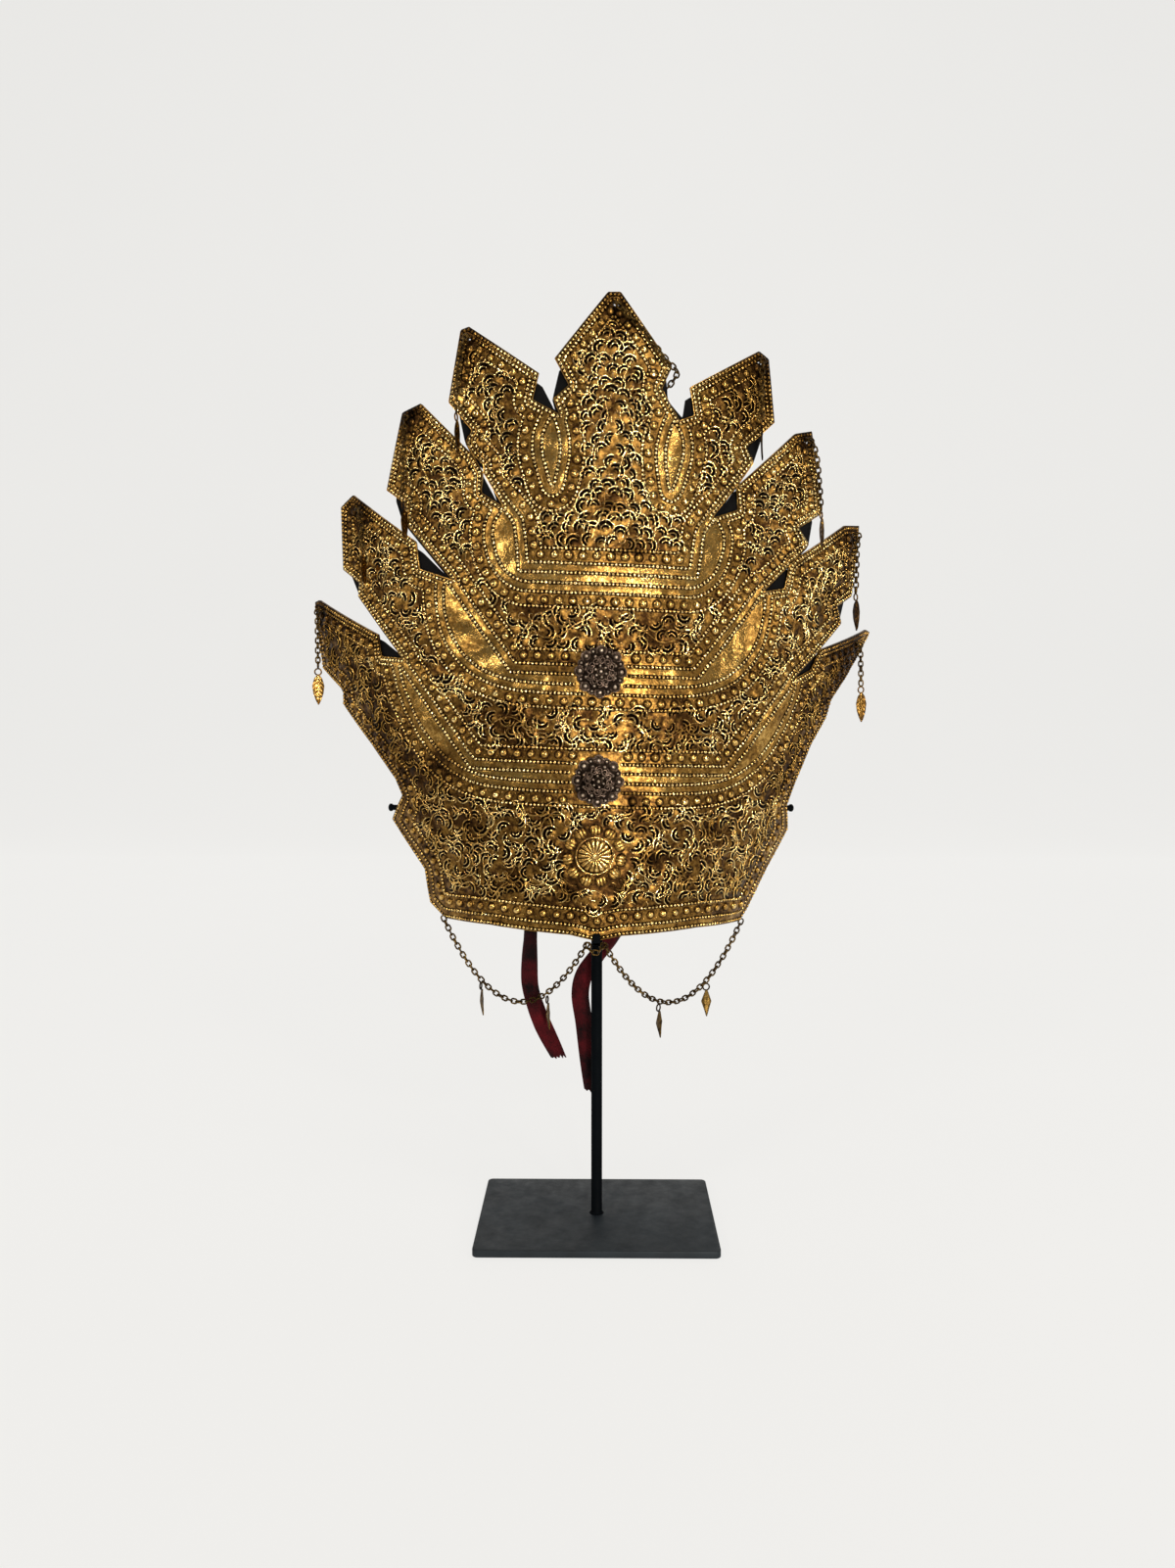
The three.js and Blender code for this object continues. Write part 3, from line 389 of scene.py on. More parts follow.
# The centre chain lies along the edge and goes over it: across, rise, out
CENTRE_CHAIN = [
    (-1, 337, 2.2), (2.5, 333.5, 3), (10.5, 326.5, 2.4), (20.5, 315.5, 2.4), (28, 307.5, 2.8), (32.5, 304, 1),
    (32, 301, -4), (27.5, 295, -8), (24, 286, -8.5),
]
CHAIN_BEHIND = 2.4
CHAIN_STANDOFF = 4
# Links: every second one is turned by so many radians, and all sway a little
LINK_LENGTH = 4.7
LINK_WIDTH = 3.6
LINK_WIRE = 0.5
LINK_OVERLAP = 3.6
LINK_STEPS = 14
LINK_FACING = (0, -1, 0)
LINK_LEAST = 0.3
LINK_TURN = 1.5
LINK_SWAY = 0.15
LINK_SWAY_STEP = 1.7
LINK_SIDE = (0.2, 0.9, 0.4)
LINK_TONE = 0.6

# Drops: outline (share of the length, half width as a share), width, length, curl, raise of the veins
LEAF = {
    "outline": [(0.0, 0.1), (0.12, 0.34), (0.36, 0.5), (0.62, 0.42), (0.85, 0.22), (1.0, 0.03)],
    "width": 7, "length": 17.5, "curl": 1.6, "veins": 0.3,
}
LOZENGE = {
    "outline": [(0.0, 0.12), (0.2, 0.3), (0.42, 0.5), (0.7, 0.26), (1.0, 0.03)],
    "width": 6, "length": 15, "curl": 3.0, "veins": 0,
}
# Blades and rings of the drops
LEAF_VEINS = 7
VEIN_SLANT = 1.3
RIB_HEIGHT = 0.35
RIB_WIDTH = 0.5
BLADE_HALF = 0.25
BLADE_STEPS = 36
BLADE_HALVES = 7
BLADE_BACK_TONE = 0.5
BLADE_BOW = 0.5
CURL_MIDDLE = 0.35
RIB_BACK = 0.3
# Tones of the leaf: painted highlight on the raised veins and rib
VEIN_HIGHLIGHT_TONES = (0.42, 0.45)
SMOOTH_TONE = 0.75
RING_RADIUS = 1.9
RING_WIRE = 0.45
RING_TONE = 0.35
RING_SIDES = 20
RING_WIRE_SIDES = 7

# Chains along the hem: side and outer end (across, rise); drops on them: chain, share of the span, turn
SWAGS = {"swag_left": (-1, -95, 5.4), "swag_right": (1, 101, 6.4)}
SWAG_MIDDLE = (4.4, 0, 0.8)
SWAG_MIDDLE_DROP = 1.4
SWAG_SAG = 40.5
SWAG_STANDOFF = 2.2
SWAG_POINTS = 60
# Short run of links that joins the two chains in front of the hook, from the middle between their ends
SWAG_JOIN = [(-2.6, -2.4, -3.6), (1.4, -2.6, -4.4)]
LOZENGES = {
    "lozenge_l1": ("swag_left", 0.27, 80),
    "lozenge_l2": ("swag_left", 0.73, 75),
    "lozenge_r1": ("swag_right", 0.62, 55),
    "lozenge_r2": ("swag_right", 0.27, 10),
}
LOZENGE_DROP = 1.4
LOZENGE_TONE = 0.9

# Cloth ties: where each is sewn to the backing (across, rise), then its middle line down (x, y, z)
TIE_WIDTH = 10.2
TIE_THICK = 0.9
TIE_BEHIND = -4.75
TIES = {
    "tie_left": (
        [(-37, 26), (-38, 13)],
        [(-38, 4.5, 146), (-37.5, 6.5, 131), (-34.5, 7.5, 119), (-29.5, 7.5, 106), (-22, 7, 89)],
    ),
    "tie_right": (
        [(22, 25), (18, 14)],
        [
            (8, 5.6, 157), (-0.5, 7.4, 146), (-7, 8, 136), (-9, 8, 126), (-7, 7.8, 110), (-5, 7.4, 92),
            (-2.5, 7, 70),
        ],
    ),
}
# How each tie is folded and lit along its run: share of the run, bend of its width in radians, tone
TIE_FOLDS = {
    "tie_left": [(0, 3.6, 0.3), (0.3, 3.0, 0.5), (0.55, 0.9, 0.95), (0.8, 0.8, 1.05), (1, 2.4, 1.1)],
    "tie_right": [(0, 2.2, 0.7), (0.3, 2.0, 1), (0.5, 1.2, 1.15), (0.65, 1.3, 0.85), (1, 3.2, 0.9)],
}
TIE_COLUMNS = 15
# Waves of the free part: where they begin and are full, height, length, skew across the width
TIE_FREE = (24, 64)
TIE_WAVE = 0.63
TIE_WAVE_LENGTH = 9
TIE_WAVE_SKEW = 1.4
# Ragged end: slant of the cut, depth and step of the frayed edge
TIE_SLANT = 1.6
TIE_FRAY = 1.2
TIE_FRAY_STEP = 2.4

# Steps between two points of a curve
CURVE_STEPS = 12
SHORT_STEPS = 8

# Stand
BASE_SIZE = (130, 91, 4)
BASE_CORNER = 3
BASE_BEVEL = 0.5
POST_RADIUS = 3.05
POST_TOP = 233
# Weld at the foot of the post and its eased top: height from the base or the top, radius past the post's
POST_FOOT = [(-0.2, 1.2), (0.1, 0.9), (0.5, 0.4), (1.2, 0.0)]
POST_HEAD = [(-0.6, 0.0), (0, -0.6)]
ARM_RADIUS = 1.6
ARMS = [(-133, 65.2), (131.7, 71.4)]
# Knob at an arm's end: way past the notch, radius as a share of the arm's
ARM_END = [(0, 1), (0.4, 1), (0.9, 1.35), (1.9, 1.4), (2.4, 1.1), (2.6, 0.5)]
HOOK_WIDTH = 4
HOOK_THICK = 1.8
HOOK_LIP = 6.4
HOOK_CLEAR = 0.4
HOOK_CORNER = 0.5
TRAY_BEVEL = 0.3
LIP_BEVEL = 0.4
POST_SIDES = 40
ARM_SIDES = 20
CORNER_STEPS = 6
BEVEL_STEPS = 5

SEED = 7
rng = np.random.default_rng(SEED)


# The bend of the sheet


def radius_at(rise):
    return LIMIT_RADIUS - (LIMIT_RADIUS - HEM_RADIUS) * np.exp(-rise / RADIUS_RISE)


def setback_at(rise):
    below = rise < BELLY_RISE
    span = np.where(below, BELLY_RISE, CROWN_RISE - BELLY_RISE)
    return np.where(below, HEM_SETBACK, TIP_SETBACK) * ((rise - BELLY_RISE) / span) ** 2


def skin(across, rise):
    radius = radius_at(rise)
    angle = across / radius
    back = setback_at(rise) + radius * (1 - np.cos(angle))
    return np.stack([radius * np.sin(angle), back, rise + 0 * angle], axis=-1)


def skin_normal(across, rise):
    step = 0.5
    along_across = skin(across + step, rise) - skin(across - step, rise)
    along_rise = skin(across, rise + step) - skin(across, rise - step)
    normal = np.cross(along_across, along_rise)
    return normal / np.linalg.norm(normal, axis=-1, keepdims=True)


SEAT = (
    Matrix.Translation((0, FRONT_Y, HEM_HEIGHT))
    @ Matrix.Rotation(math.radians(ROLL), 4, "Y")
    @ Matrix.Rotation(math.radians(YAW), 4, "Z")
)
SEAT_TURN = np.array(SEAT.to_3x3())
SEAT_PLACE = np.array(SEAT.translation)


def crown_points(flat):
    """Points drawn flat (across, rise, out from the sheet's back) on the bent crown"""
    flat = np.asarray(flat, float)
    across, rise, out = flat[:, 0], flat[:, 1], flat[:, 2]
    bent = skin(across, rise) + skin_normal(across, rise) * out[:, None]
    return bent @ SEAT_TURN.T + SEAT_PLACE


def crown_point(across, rise, out):
    return crown_points([(across, rise, out)])[0]


def frame_on(across, rise, out):
    """A frame on the crown whose Z points out of the sheet and Y up it"""
    at = np.array([float(across)]), np.array([float(rise)])
    normal = skin_normal(*at)[0]
    up = (skin(at[0], at[1] + 1) - skin(at[0], at[1] - 1))[0]
    side = np.cross(up, normal)
    side /= np.linalg.norm(side)
    turn = np.stack([side, np.cross(normal, side), normal], axis=1)
    return SEAT_TURN @ turn, crown_point(across, rise, out)


# Meshes


def make_piece(name, points, triangles, tone=None, sharp=None):
    """A mesh object from points in millimetres; tone is 0 in the recesses and 1 on bare metal: it carries
    painted shade in the recesses and painted highlight on raised tops, as well as wear
    """
    mesh = bpy.data.meshes.new(name)
    triangles = np.asarray(triangles, np.int32)
    mesh.vertices.add(len(points))
    mesh.vertices.foreach_set("co", (np.asarray(points, float) * MM).ravel())
    mesh.loops.add(triangles.size)
    mesh.loops.foreach_set("vertex_index", triangles.ravel())
    mesh.polygons.add(len(triangles))
    mesh.polygons.foreach_set("loop_start", np.arange(0, triangles.size, 3, dtype=np.int32))
    mesh.polygons.foreach_set("use_smooth", np.ones(len(triangles), bool))
    mesh.update(calc_edges=True)
    if sharp is not None:
        mesh.set_sharp_from_angle(angle=math.radians(sharp))
    if tone is not None:
        layer = mesh.attributes.new("tone", "FLOAT", "POINT")
        layer.data.foreach_set("value", np.asarray(tone, np.float32))
    mesh.validate()
    piece = bpy.data.objects.new(name, mesh)
    bpy.context.scene.collection.objects.link(piece)
    return piece


def settle(piece, material, slot, *nodes):
    """Dresses a piece and hides the solids it stands for"""
    piece.data.materials.append(material)
    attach(piece, BODY)
    if nodes:
        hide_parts(*nodes)


class Gathered:
    """Many small shapes gathered into one mesh"""

    def __init__(self):
        self.points, self.triangles, self.tones, self.count = [], [], [], 0

    def add(self, points, triangles, tones):
        points = np.asarray(points, float)
        self.points.append(points)
        self.triangles.append(np.asarray(triangles, int) + self.count)
        self.tones.append(np.broadcast_to(np.asarray(tones, float), (len(points),)))
        self.count += len(points)

    def add_many(self, shape, moved):
        """Copies of one shape, whose points are already moved: an array of copies by points by three"""
        points, triangles, tones = shape
        steps = np.arange(len(moved))[:, None, None] * len(points)
        faces = (np.asarray(triangles) + steps).reshape(-1, 3)
        self.add(moved.reshape(-1, 3), faces, np.tile(tones, len(moved)))

    def arrays(self):
        return np.concatenate(self.points), np.concatenate(self.triangles), np.concatenate(self.tones)


def rows_to_triangles(rows, columns, close_columns=False, close_rows=False):
    """Triangles of a grid of points, row after row"""
    faces = []
    for row in range(rows if close_rows else rows - 1):
        following = (row + 1) % rows
        for column in range(columns if close_columns else columns - 1):
            beside = (column + 1) % columns
            a, b = row * columns + column, row * columns + beside
            c, d = following * columns + beside, following * columns + column
            faces += [(a, b, c), (a, c, d)]
    return faces


def closed_line(line):
    return np.vstack([line, line[:1]])


def smooth_line(points, steps):
    """A centripetal curve through the points, with the same number of steps between each two"""
    points = np.asarray(points, float)
    ends = np.vstack([2 * points[0] - points[1], points, 2 * points[-1] - points[-2]])
    share = np.linspace(0, 1, steps + 1)[1:, None]
    found = [points[:1]]
    for k in range(len(points) - 1):
        first, start, end, last = ends[k : k + 4]
        before, here, after = np.sqrt(np.linalg.norm(np.diff(ends[k : k + 4], axis=0), axis=1))
        chord = end - start
        leaving = chord + here * ((start - first) / before - (end - first) / (before + here))
        coming = chord + here * ((last - end) / after - (last - start) / (here + after))
        bend = 3 * chord - 2 * leaving - coming
        found.append(start + share * leaving + share**2 * bend + share**3 * (leaving + coming - 2 * chord))
    return np.vstack(found)


def evenly(line, pitch, closed=False):
    """Points at an even pitch along a line, with the direction of the line at each"""
    line = np.asarray(line, float)
    if closed:
        line = closed_line(line)
    lengths = np.linalg.norm(np.diff(line, axis=0), axis=1)
    run = np.concatenate([[0], np.cumsum(lengths)])
    count = max(int(round(run[-1] / pitch)), 1)
    at = (np.arange(count) + 0.5) * run[-1] / count
    places = np.stack([np.interp(at, run, line[:, k]) for k in range(line.shape[1])], axis=1)
    piece = np.clip(np.searchsorted(run, at) - 1, 0, len(lengths) - 1)
    along = (line[piece + 1] - line[piece]) / np.maximum(lengths[piece], TINY)[:, None]
    return places, along


def directions(line):
    along = np.gradient(line, axis=0)
    return along / np.linalg.norm(along, axis=1, keepdims=True)


def circle(radius, count, middle=(0, 0)):
    turn = np.arange(count) * 2 * np.pi / count
    return np.array(middle) + radius * np.stack([np.cos(turn), np.sin(turn)], 1)


def caps(rows, columns):
    """Triangles that close the first and the last row of a grid"""
    last = (rows - 1) * columns
    faces = [(0, k + 1, k) for k in range(1, columns - 1)]
    return faces + [(last, last + k, last + k + 1) for k in range(1, columns - 1)]


def sweep(line, radius, sides, closed=False):
    """A round wire along a line of points"""
    line = np.asarray(line, float)
    along = directions(line)
    if closed:
        along = np.roll(line, -1, axis=0) - np.roll(line, 1, axis=0)
        along /= np.linalg.norm(along, axis=1, keepdims=True)
    side = np.cross(along[0], SWEEP_SIDE)
    sides_at = []
    for direction in along:
        side = side - direction * (side @ direction)
        side /= np.linalg.norm(side)
        sides_at.append(side)
    sides_at = np.array(sides_at)
    other = np.cross(along, sides_at)
    turn = np.arange(sides) * 2 * np.pi / sides
    radius = np.broadcast_to(np.asarray(radius, float), (len(line),))
    ring = np.cos(turn)[None, :, None] * sides_at[:, None] + np.sin(turn)[None, :, None] * other[:, None]
    points = (line[:, None] + radius[:, None, None] * ring).reshape(-1, 3)
    faces = rows_to_triangles(len(line), sides, close_columns=True, close_rows=closed)
    if not closed:
        faces += caps(len(line), sides)
    return points, [(a, c, b) for a, b, c in faces]


def dome_shape(radius, height, sides, rings, foot, low, high):
    """A closed round boss standing on the sheet"""
    ring = np.column_stack([circle(radius, sides), np.zeros(sides)])
    # The foot ring is painted in shade, and the tone rises to a painted highlight on top
    points, tones = [ring - (0, 0, foot)], [low * FOOT_SHADE] * sides
    for lift in np.arange(rings) / rings * np.pi / 2:
        points.append(ring * math.cos(lift) + (0, 0, height * math.sin(lift)))
        tones += [low + (high - low) * math.sin(lift)] * sides
    points.append([(0, 0, height)])
    last, top = rings * sides, (rings + 1) * sides
    faces = rows_to_triangles(rings + 1, sides, close_columns=True)
    faces += [(last + k, last + (k + 1) % sides, top) for k in range(sides)]
    faces += [(0, k + 1, k) for k in range(1, sides - 1)]
    return np.vstack(points), faces, np.array(tones + [high])


def ridge_shape(line, half, height, foot, low, high, swell=1.0):
    """A closed ridge along a flat line, whose swelling says how it thins out"""
    line = np.asarray(line, float)
    along = directions(line)
    side = np.stack([-along[:, 1], along[:, 0]], axis=1)
    half = np.broadcast_to(half * swell, (len(line),))[:, None]
    height = np.broadcast_to(height * swell, (len(line),))
    feet = np.full(len(line), -foot)
    rows = [(line + side * half, feet), (line, height), (line - side * half, feet)]
    points = np.stack([np.column_stack(row) for row in rows], axis=1).reshape(-1, 3)
    faces = [(a, c, b) for a, b, c in rows_to_triangles(len(line), 3, close_columns=True)]
    last = 3 * (len(line) - 1)
    faces += [(0, 1, 2), (last, last + 2, last + 1)]
    # Tones: painted shade at the feet, painted highlight along the top
    return points, faces, np.tile([low, high, low], len(line))


def polar_shape(radius, rings, spokes, rise_at):
    """A round raised form: heights and tones by share of the radius and by angle"""
    turns = np.arange(spokes) * 2 * np.pi / spokes
    points, tones = [], []
    for share in np.arange(1, rings + 1) / rings:
        lift, tone = rise_at(np.full(spokes, share), turns)
        points.append(np.column_stack([circle(radius * share, spokes), lift]))
        tones.append(tone)
    points.append(np.column_stack([circle(radius, spokes), np.full(spokes, -POLAR_FOOT)]))
    lift, tone = rise_at(np.zeros(1), np.zeros(1))
    points.append([(0, 0, lift[0])])
    # The foot ring carries painted shade
    tones += [np.full(spokes, POLAR_FOOT_SHADE), tone]
    last, top = rings * spokes, (rings + 1) * spokes
    faces = [(a, c, b) for a, b, c in rows_to_triangles(rings + 1, spokes, close_columns=True)]
    faces += [(k, (k + 1) % spokes, top) for k in range(spokes)]
    faces += [(last, last + k + 1, last + k) for k in range(1, spokes - 1)]
    return np.vstack(points), faces, np.concatenate(tones)


def strip_faces(steps, columns):
    """Triangles of a thin strip: its front, its back and the wall round them"""
    count = steps * columns
    front = rows_to_triangles(steps, columns)
    rim = [row * columns for row in range(steps)]
    rim += [(steps - 1) * columns + k for k in range(1, columns)]
    rim += [row * columns + columns - 1 for row in range(steps - 2, -1, -1)]
    rim += list(range(columns - 2, 0, -1))
    faces = front + [(a + count, c + count, b + count) for a, b, c in front]
    for a, b in zip(rim, rim[1:] + rim[:1]):
        faces += [(a, b + count, b), (a, a + count, b + count)]
    return faces


# Layout of the sheet


def whole(right, left):
    """Closed outline from its right side and its left side, both from the top down"""
    return np.vstack([np.array(right, float), np.array(left, float)[::-1] * (-1, 1)])


def both_sides(half):
    right = np.array(half, float)
    return np.vstack([right, right[::-1][1:] * (-1, 1)])


def distance_to(points, lines):
    best = np.full(len(points), np.inf)
    for line in lines:
        for start, end in zip(line[:-1], line[1:]):
            step = end - start
            share = np.clip(((points - start) @ step) / (step @ step), 0, 1)
            gap = points - start - share[:, None] * step
            best = np.minimum(best, gap[:, 0] ** 2 + gap[:, 1] ** 2)
    return np.sqrt(best)


def inside(points, loop):
    """Which points lie inside a closed line"""
    found = np.zeros(len(points), bool)
    x, y = points[:, 0], points[:, 1]
    for (x0, y0), (x1, y1) in zip(loop, np.roll(loop, -1, axis=0)):
        if y0 == y1:
            continue
        crosses = (y0 > y) != (y1 > y)
        found ^= crosses & (x < (x1 - x0) * (y - y0) / (y1 - y0) + x0)
    return found


EDGE = whole(OUTLINE, OUTLINE_LEFT)
UPPER_LINES = [both_sides(tier["upper"]) for tier in TIERS]
LOWER_LINES = [both_sides(smooth_line(tier["lower"], PANEL_CURVE_STEPS)) for tier in TIERS]
drop_line = smooth_line([*TEARDROP, TEARDROP[0]], PANEL_CURVE_STEPS)
TEARDROPS = [drop_line, drop_line * (-1, 1)]
PLAIN_LOOPS = [np.vstack([upper, lower[::-1]]) for upper, lower in zip(UPPER_LINES, LOWER_LINES)]
PLAIN_LOOPS += TEARDROPS


def ease(low, high, value):
    share = np.clip((value - low) / (high - low), 0, 1)
    return share * share * (3 - 2 * share)


def dents(places):
    """Shallow dents of the hammered sheet: waves of many directions and lengths"""
    draws = np.random.default_rng(DENT_SEED)
    depth = np.zeros(len(places))
    for _ in range(DENT_WAVES):
        turn, start = 2 * np.pi * draws.random(2)
        length = draws.uniform(*DENT_LENGTHS)
        along = places @ np.array((math.cos(turn), math.sin(turn)))
        depth += DENT_SLOPE * length * np.sin(2 * np.pi * along / length + start)
    return depth


def pillow(distance, width):
    """Rounded height across a strip: 0 at its edge, 1 from the middle on"""
    share = np.clip(distance / width, 0, 1)
    return np.sqrt(1 - (1 - share) ** 2)


columns, rows = np.meshgrid(np.arange(GRID_SHAPE[0]), np.arange(GRID_SHAPE[1]), indexing="ij")
grid = np.stack([columns, rows], axis=-1).reshape(-1, 2) * GRID_STEP + GRID_LOW
edge_far = distance_to(grid, [closed_line(EDGE)])
on_sheet = inside(grid, EDGE)
upper_far = distance_to(grid, UPPER_LINES)
lower_far = distance_to(grid, LOWER_LINES + TEARDROPS)
on_plain = np.zeros(len(grid), bool)
for loop in PLAIN_LOOPS:
    on_plain |= inside(grid, loop)
edge_share = np.interp(grid[:, 1], *np.transpose(EDGE_SHARES))
border = np.minimum(np.minimum(edge_far * edge_share, upper_far), lower_far)
panel_depth = np.minimum(np.minimum(upper_far, lower_far), edge_far)
flower_far = np.hypot(grid[:, 0] - FLOWER[0], grid[:, 1] - FLOWER[1])

half_strip = STRIP_WIDTH / 2 - STRIP_INSET
strip = pillow(border - STRIP_INSET, half_strip) * pillow(STRIP_WIDTH - border, half_strip)
height = np.where(border < STRIP_WIDTH, STRIP_RAISE * np.clip(strip, 0, 1), 0)
band = ease(STRIP_WIDTH, STRIP_WIDTH + BAND_EASE, border) * (1 - ease(INNER_BEADS, FOLIAGE_FROM, border))
height = height + BAND_LIFT * band
height = np.where(on_plain, PANEL_RAISE * pillow(panel_depth, PANEL_ROUND), height)
height = np.where(flower_far < FLOWER_REACH, FLOWER_GROUND, height)
height = height + dents(grid) * ease(0, DENT_EDGE, edge_far)
# Tone of the ground, lowered in the bands and the foliage as painted shade among the relief
ground = np.where(border < STRIP_WIDTH, STRIP_TONE, FOLIAGE_TONE + (BAND_TONE - FOLIAGE_TONE) * band)
ground = np.where(on_plain, PANEL_TONE, ground)
fields = {
    "edge": np.where(on_sheet, edge_far, -edge_far),
    "border": np.where(on_sheet, border, -edge_far),
    "height": height,
    "ground": ground,
    "plain": on_plain.astype(float),
    "flower": flower_far,
}
fields = {name: values.reshape(GRID_SHAPE) for name, values in fields.items()}


def field_at(name, points):
    """A field of the layout at flat points, between the points of its grid"""
    place = (np.asarray(points)[:, :2] - GRID_LOW) / GRID_STEP
    place = np.clip(place, 0, np.array(GRID_SHAPE) - 1 - GRID_INSIDE)
    cell = place.astype(int)
    share = place - cell
    values = fields[name]
    i, j = cell[:, 0], cell[:, 1]
    u, v = share[:, 0], share[:, 1]
    low = values[i, j] * (1 - u) + values[i + 1, j] * u
    high = values[i, j + 1] * (1 - u) + values[i + 1, j + 1] * u
    return low * (1 - v) + high * v


def contour(name, level):
    """Lines of the flat sheet along which a field passes a level"""
    values = fields[name] - level
    above = values > 0
    links, places = {}, {}

    def crossing(a, b):
        key = (a, b)
        if key not in places:
            share = values[a] / (values[a] - values[b])
            places[key] = np.array(a) + share * (np.array(b) - np.array(a))
        return key

    mixed = above[:-1, :-1].astype(int) + above[1:, :-1] + above[:-1, 1:] + above[1:, 1:]
    for i, j in np.argwhere((mixed > 0) & (mixed < 4)):
        corners = [(i, j), (i + 1, j), (i + 1, j + 1), (i, j + 1)]
        cuts = []
        for a, b in zip(corners, corners[1:] + corners[:1]):
            if above[a] != above[b]:
                cuts.append(crossing(min(a, b), max(a, b)))
        for a, b in zip(cuts[::2], cuts[1::2]):
            links.setdefault(a, []).append(b)
            links.setdefault(b, []).append(a)
    lines, seen = [], set()
    starts = sorted(links, key=lambda key: len(links[key]))
    for start in starts:
        if start in seen:
            continue
        line, here = [], start
        while here is not None:
            seen.add(here)
            line.append(places[here])
            here = next((key for key in links[here] if key not in seen), None)
        if len(line) > CONTOUR_LEAST:
            lines.append(np.array(line) * GRID_STEP + GRID_LOW)
    return lines


def plate_front(points):
    return SHEET_THICK + field_at("height", points)


def set_on(gathered, shape):
    """Sets one flat shape on the sheet"""
    points, faces, tone = shape
    points[:, 2] += plate_front(points)
    gathered.add(points, faces, tone)


def stamp(gathered, shape, places, turns, sizes):
    """Copies of a flat shape set on the sheet"""
    points = shape[0]
    cos, sin = np.cos(turns)[:, None], np.sin(turns)[:, None]
    sizes = np.broadcast_to(sizes, (len(places),))[:, None]
    x, y, z = (points[None, :, k] * sizes for k in range(3))
    moved = np.stack([places[:, :1] + cos * x - sin * y, places[:, 1:] + sin * x + cos * y, z], axis=-1)
    moved[:, :, 2] += plate_front(moved.reshape(-1, 3)).reshape(moved.shape[:2])
    gathered.add_many(shape, moved)


def clear_of_rosettes(points, room):
    far = np.ones(len(points), bool)
    for across, rise in ROSETTES.values():
        far &= np.hypot(points[:, 0] - across, points[:, 1] - rise) > room
    return far


def wear_and_painted_shade(points):
    """Less gold towards the tips; less gold and painted shade towards the sides; dark patches, some stains
    and some painted shade
    """
    across_far, rise_far = points[:, 0] - SHADE_AND_WEAR_MIDDLE[0], points[:, 1] - SHADE_AND_WEAR_MIDDLE[1]
    tone = 1 - SHADE_AND_WEAR_LOSS * ease(*SHADE_AND_WEAR_REACH, np.hypot(across_far, rise_far * SHADE_AND_WEAR_FLATTEN))
    spots = [(across, rise, TIP_TARNISH, TIP_TARNISH_REACH) for across, rise, *_ in TIPS.values()]
    for across, rise, loss, reach in spots + STAIN_AND_SHADE_PATCHES:
        near = np.hypot(points[:, 0] - across, points[:, 1] - rise)
        tone = tone * (1 - loss * np.exp(-((near / reach) ** 2)))
    return tone


def emboss(name, gathered, material):
    """One gilt piece of the shapes gathered flat, worn and painted with shade by place, and bent with the
    sheet
    """
    flat, faces, tone = gathered.arrays()
    settle(make_piece(name, crown_points(flat), faces, tone * wear_and_painted_shade(flat)), material, "gilt")


def drawn(count, sizes):
    """Sizes drawn by chance between two ends"""
    return sizes[0] + (sizes[1] - sizes[0]) * rng.random(count)


def heading(along):
    return np.arctan2(along[:, 1], along[:, 0])


# The embossed sheet


def hexagonal(pitch, low, high):
    """Places of a regular pattern, every second row shifted by half a pitch"""
    found = []
    for row, y in enumerate(np.arange(low[1], high[1], pitch * ROW_SHARE)):
        x = np.arange(low[0], high[0], pitch) + (pitch / 2 if row % 2 else 0)
        found.append(np.stack([x, np.full_like(x, y)], 1))
    return np.vstack(found)


def scattered(pitch, scatter):
    """Places of the pattern over the whole sheet, each moved by chance"""
    places = hexagonal(pitch, EDGE.min(0), EDGE.max(0))
    return places + (rng.random(places.shape) - 0.5) * scatter


def sheet_mesh(loop, steps, front_at, back_out, holes=()):
    """A closed sheet with holes: its front is raised, its back is plain"""
    rim, _ = evenly(loop, steps[0], closed=True)
    loops = [rim, *(circle(HOLE_RADIUS, HOLE_SIDES, centre) for centre in holes)]
    edges, start = [], 0
    for each in loops:
        edges += [(start + k, start + (k + 1) % len(each)) for k in range(len(each))]
        start += len(each)
    borders = np.vstack(loops)

    def fill(spacing):
        inner = hexagonal(spacing, loop.min(0), loop.max(0))
        inner = inner[inside(inner, loop)]
        room = distance_to(inner, [closed_line(loop)]) > spacing * RIM_ROOM
        for centre in holes:
            room &= np.hypot(*(inner - centre).T) > HOLE_RADIUS + spacing * HOLE_ROOM
        places = np.vstack([borders, inner[room]])
        result = geometry.delaunay_2d_cdt([Vector(p) for p in places], edges, [], 1, MERGE)
        triangles = np.array([face for face in result[2] if len(face) == 3])
        found = np.array([tuple(v) for v in result[0]])
        middle = found[triangles].mean(1)
        keep = inside(middle, loop)
        for centre in holes:
            keep &= np.hypot(*(middle - centre).T) > HOLE_RADIUS * HOLE_SHARE
        return found, triangles[keep]

    (front, front_faces), (back, back_faces) = fill(steps[0]), fill(steps[1])
    shift = len(front)
    points = np.vstack([
        np.column_stack([front, front_at(front)]),
        np.column_stack([back, np.full(len(back), back_out)]),
    ])
    walls = [face for a, b in edges for face in ((a, a + shift, b + shift), (a, b + shift, b))]
    return points, np.vstack([front_faces, back_faces[:, ::-1] + shift, walls]), shift


def make_plate(material):
    holes = [row[:2] for row in TIPS.values()]
    flat, faces, front = sheet_mesh(EDGE, PLATE_STEPS, plate_front, 0.0, holes)
    tone = np.full(len(flat), PLATE_BACK_TONE)
    # Tone of the ground, with its painted shade, times the wear and painted shade by place
    tone[:front] = field_at("ground", flat[:front]) * wear_and_painted_shade(flat[:front])
    piece = make_piece("plate", crown_points(flat), faces, tone, sharp=SHARP["plate"])
    settle(piece, material, "gilt", "crown_plate")


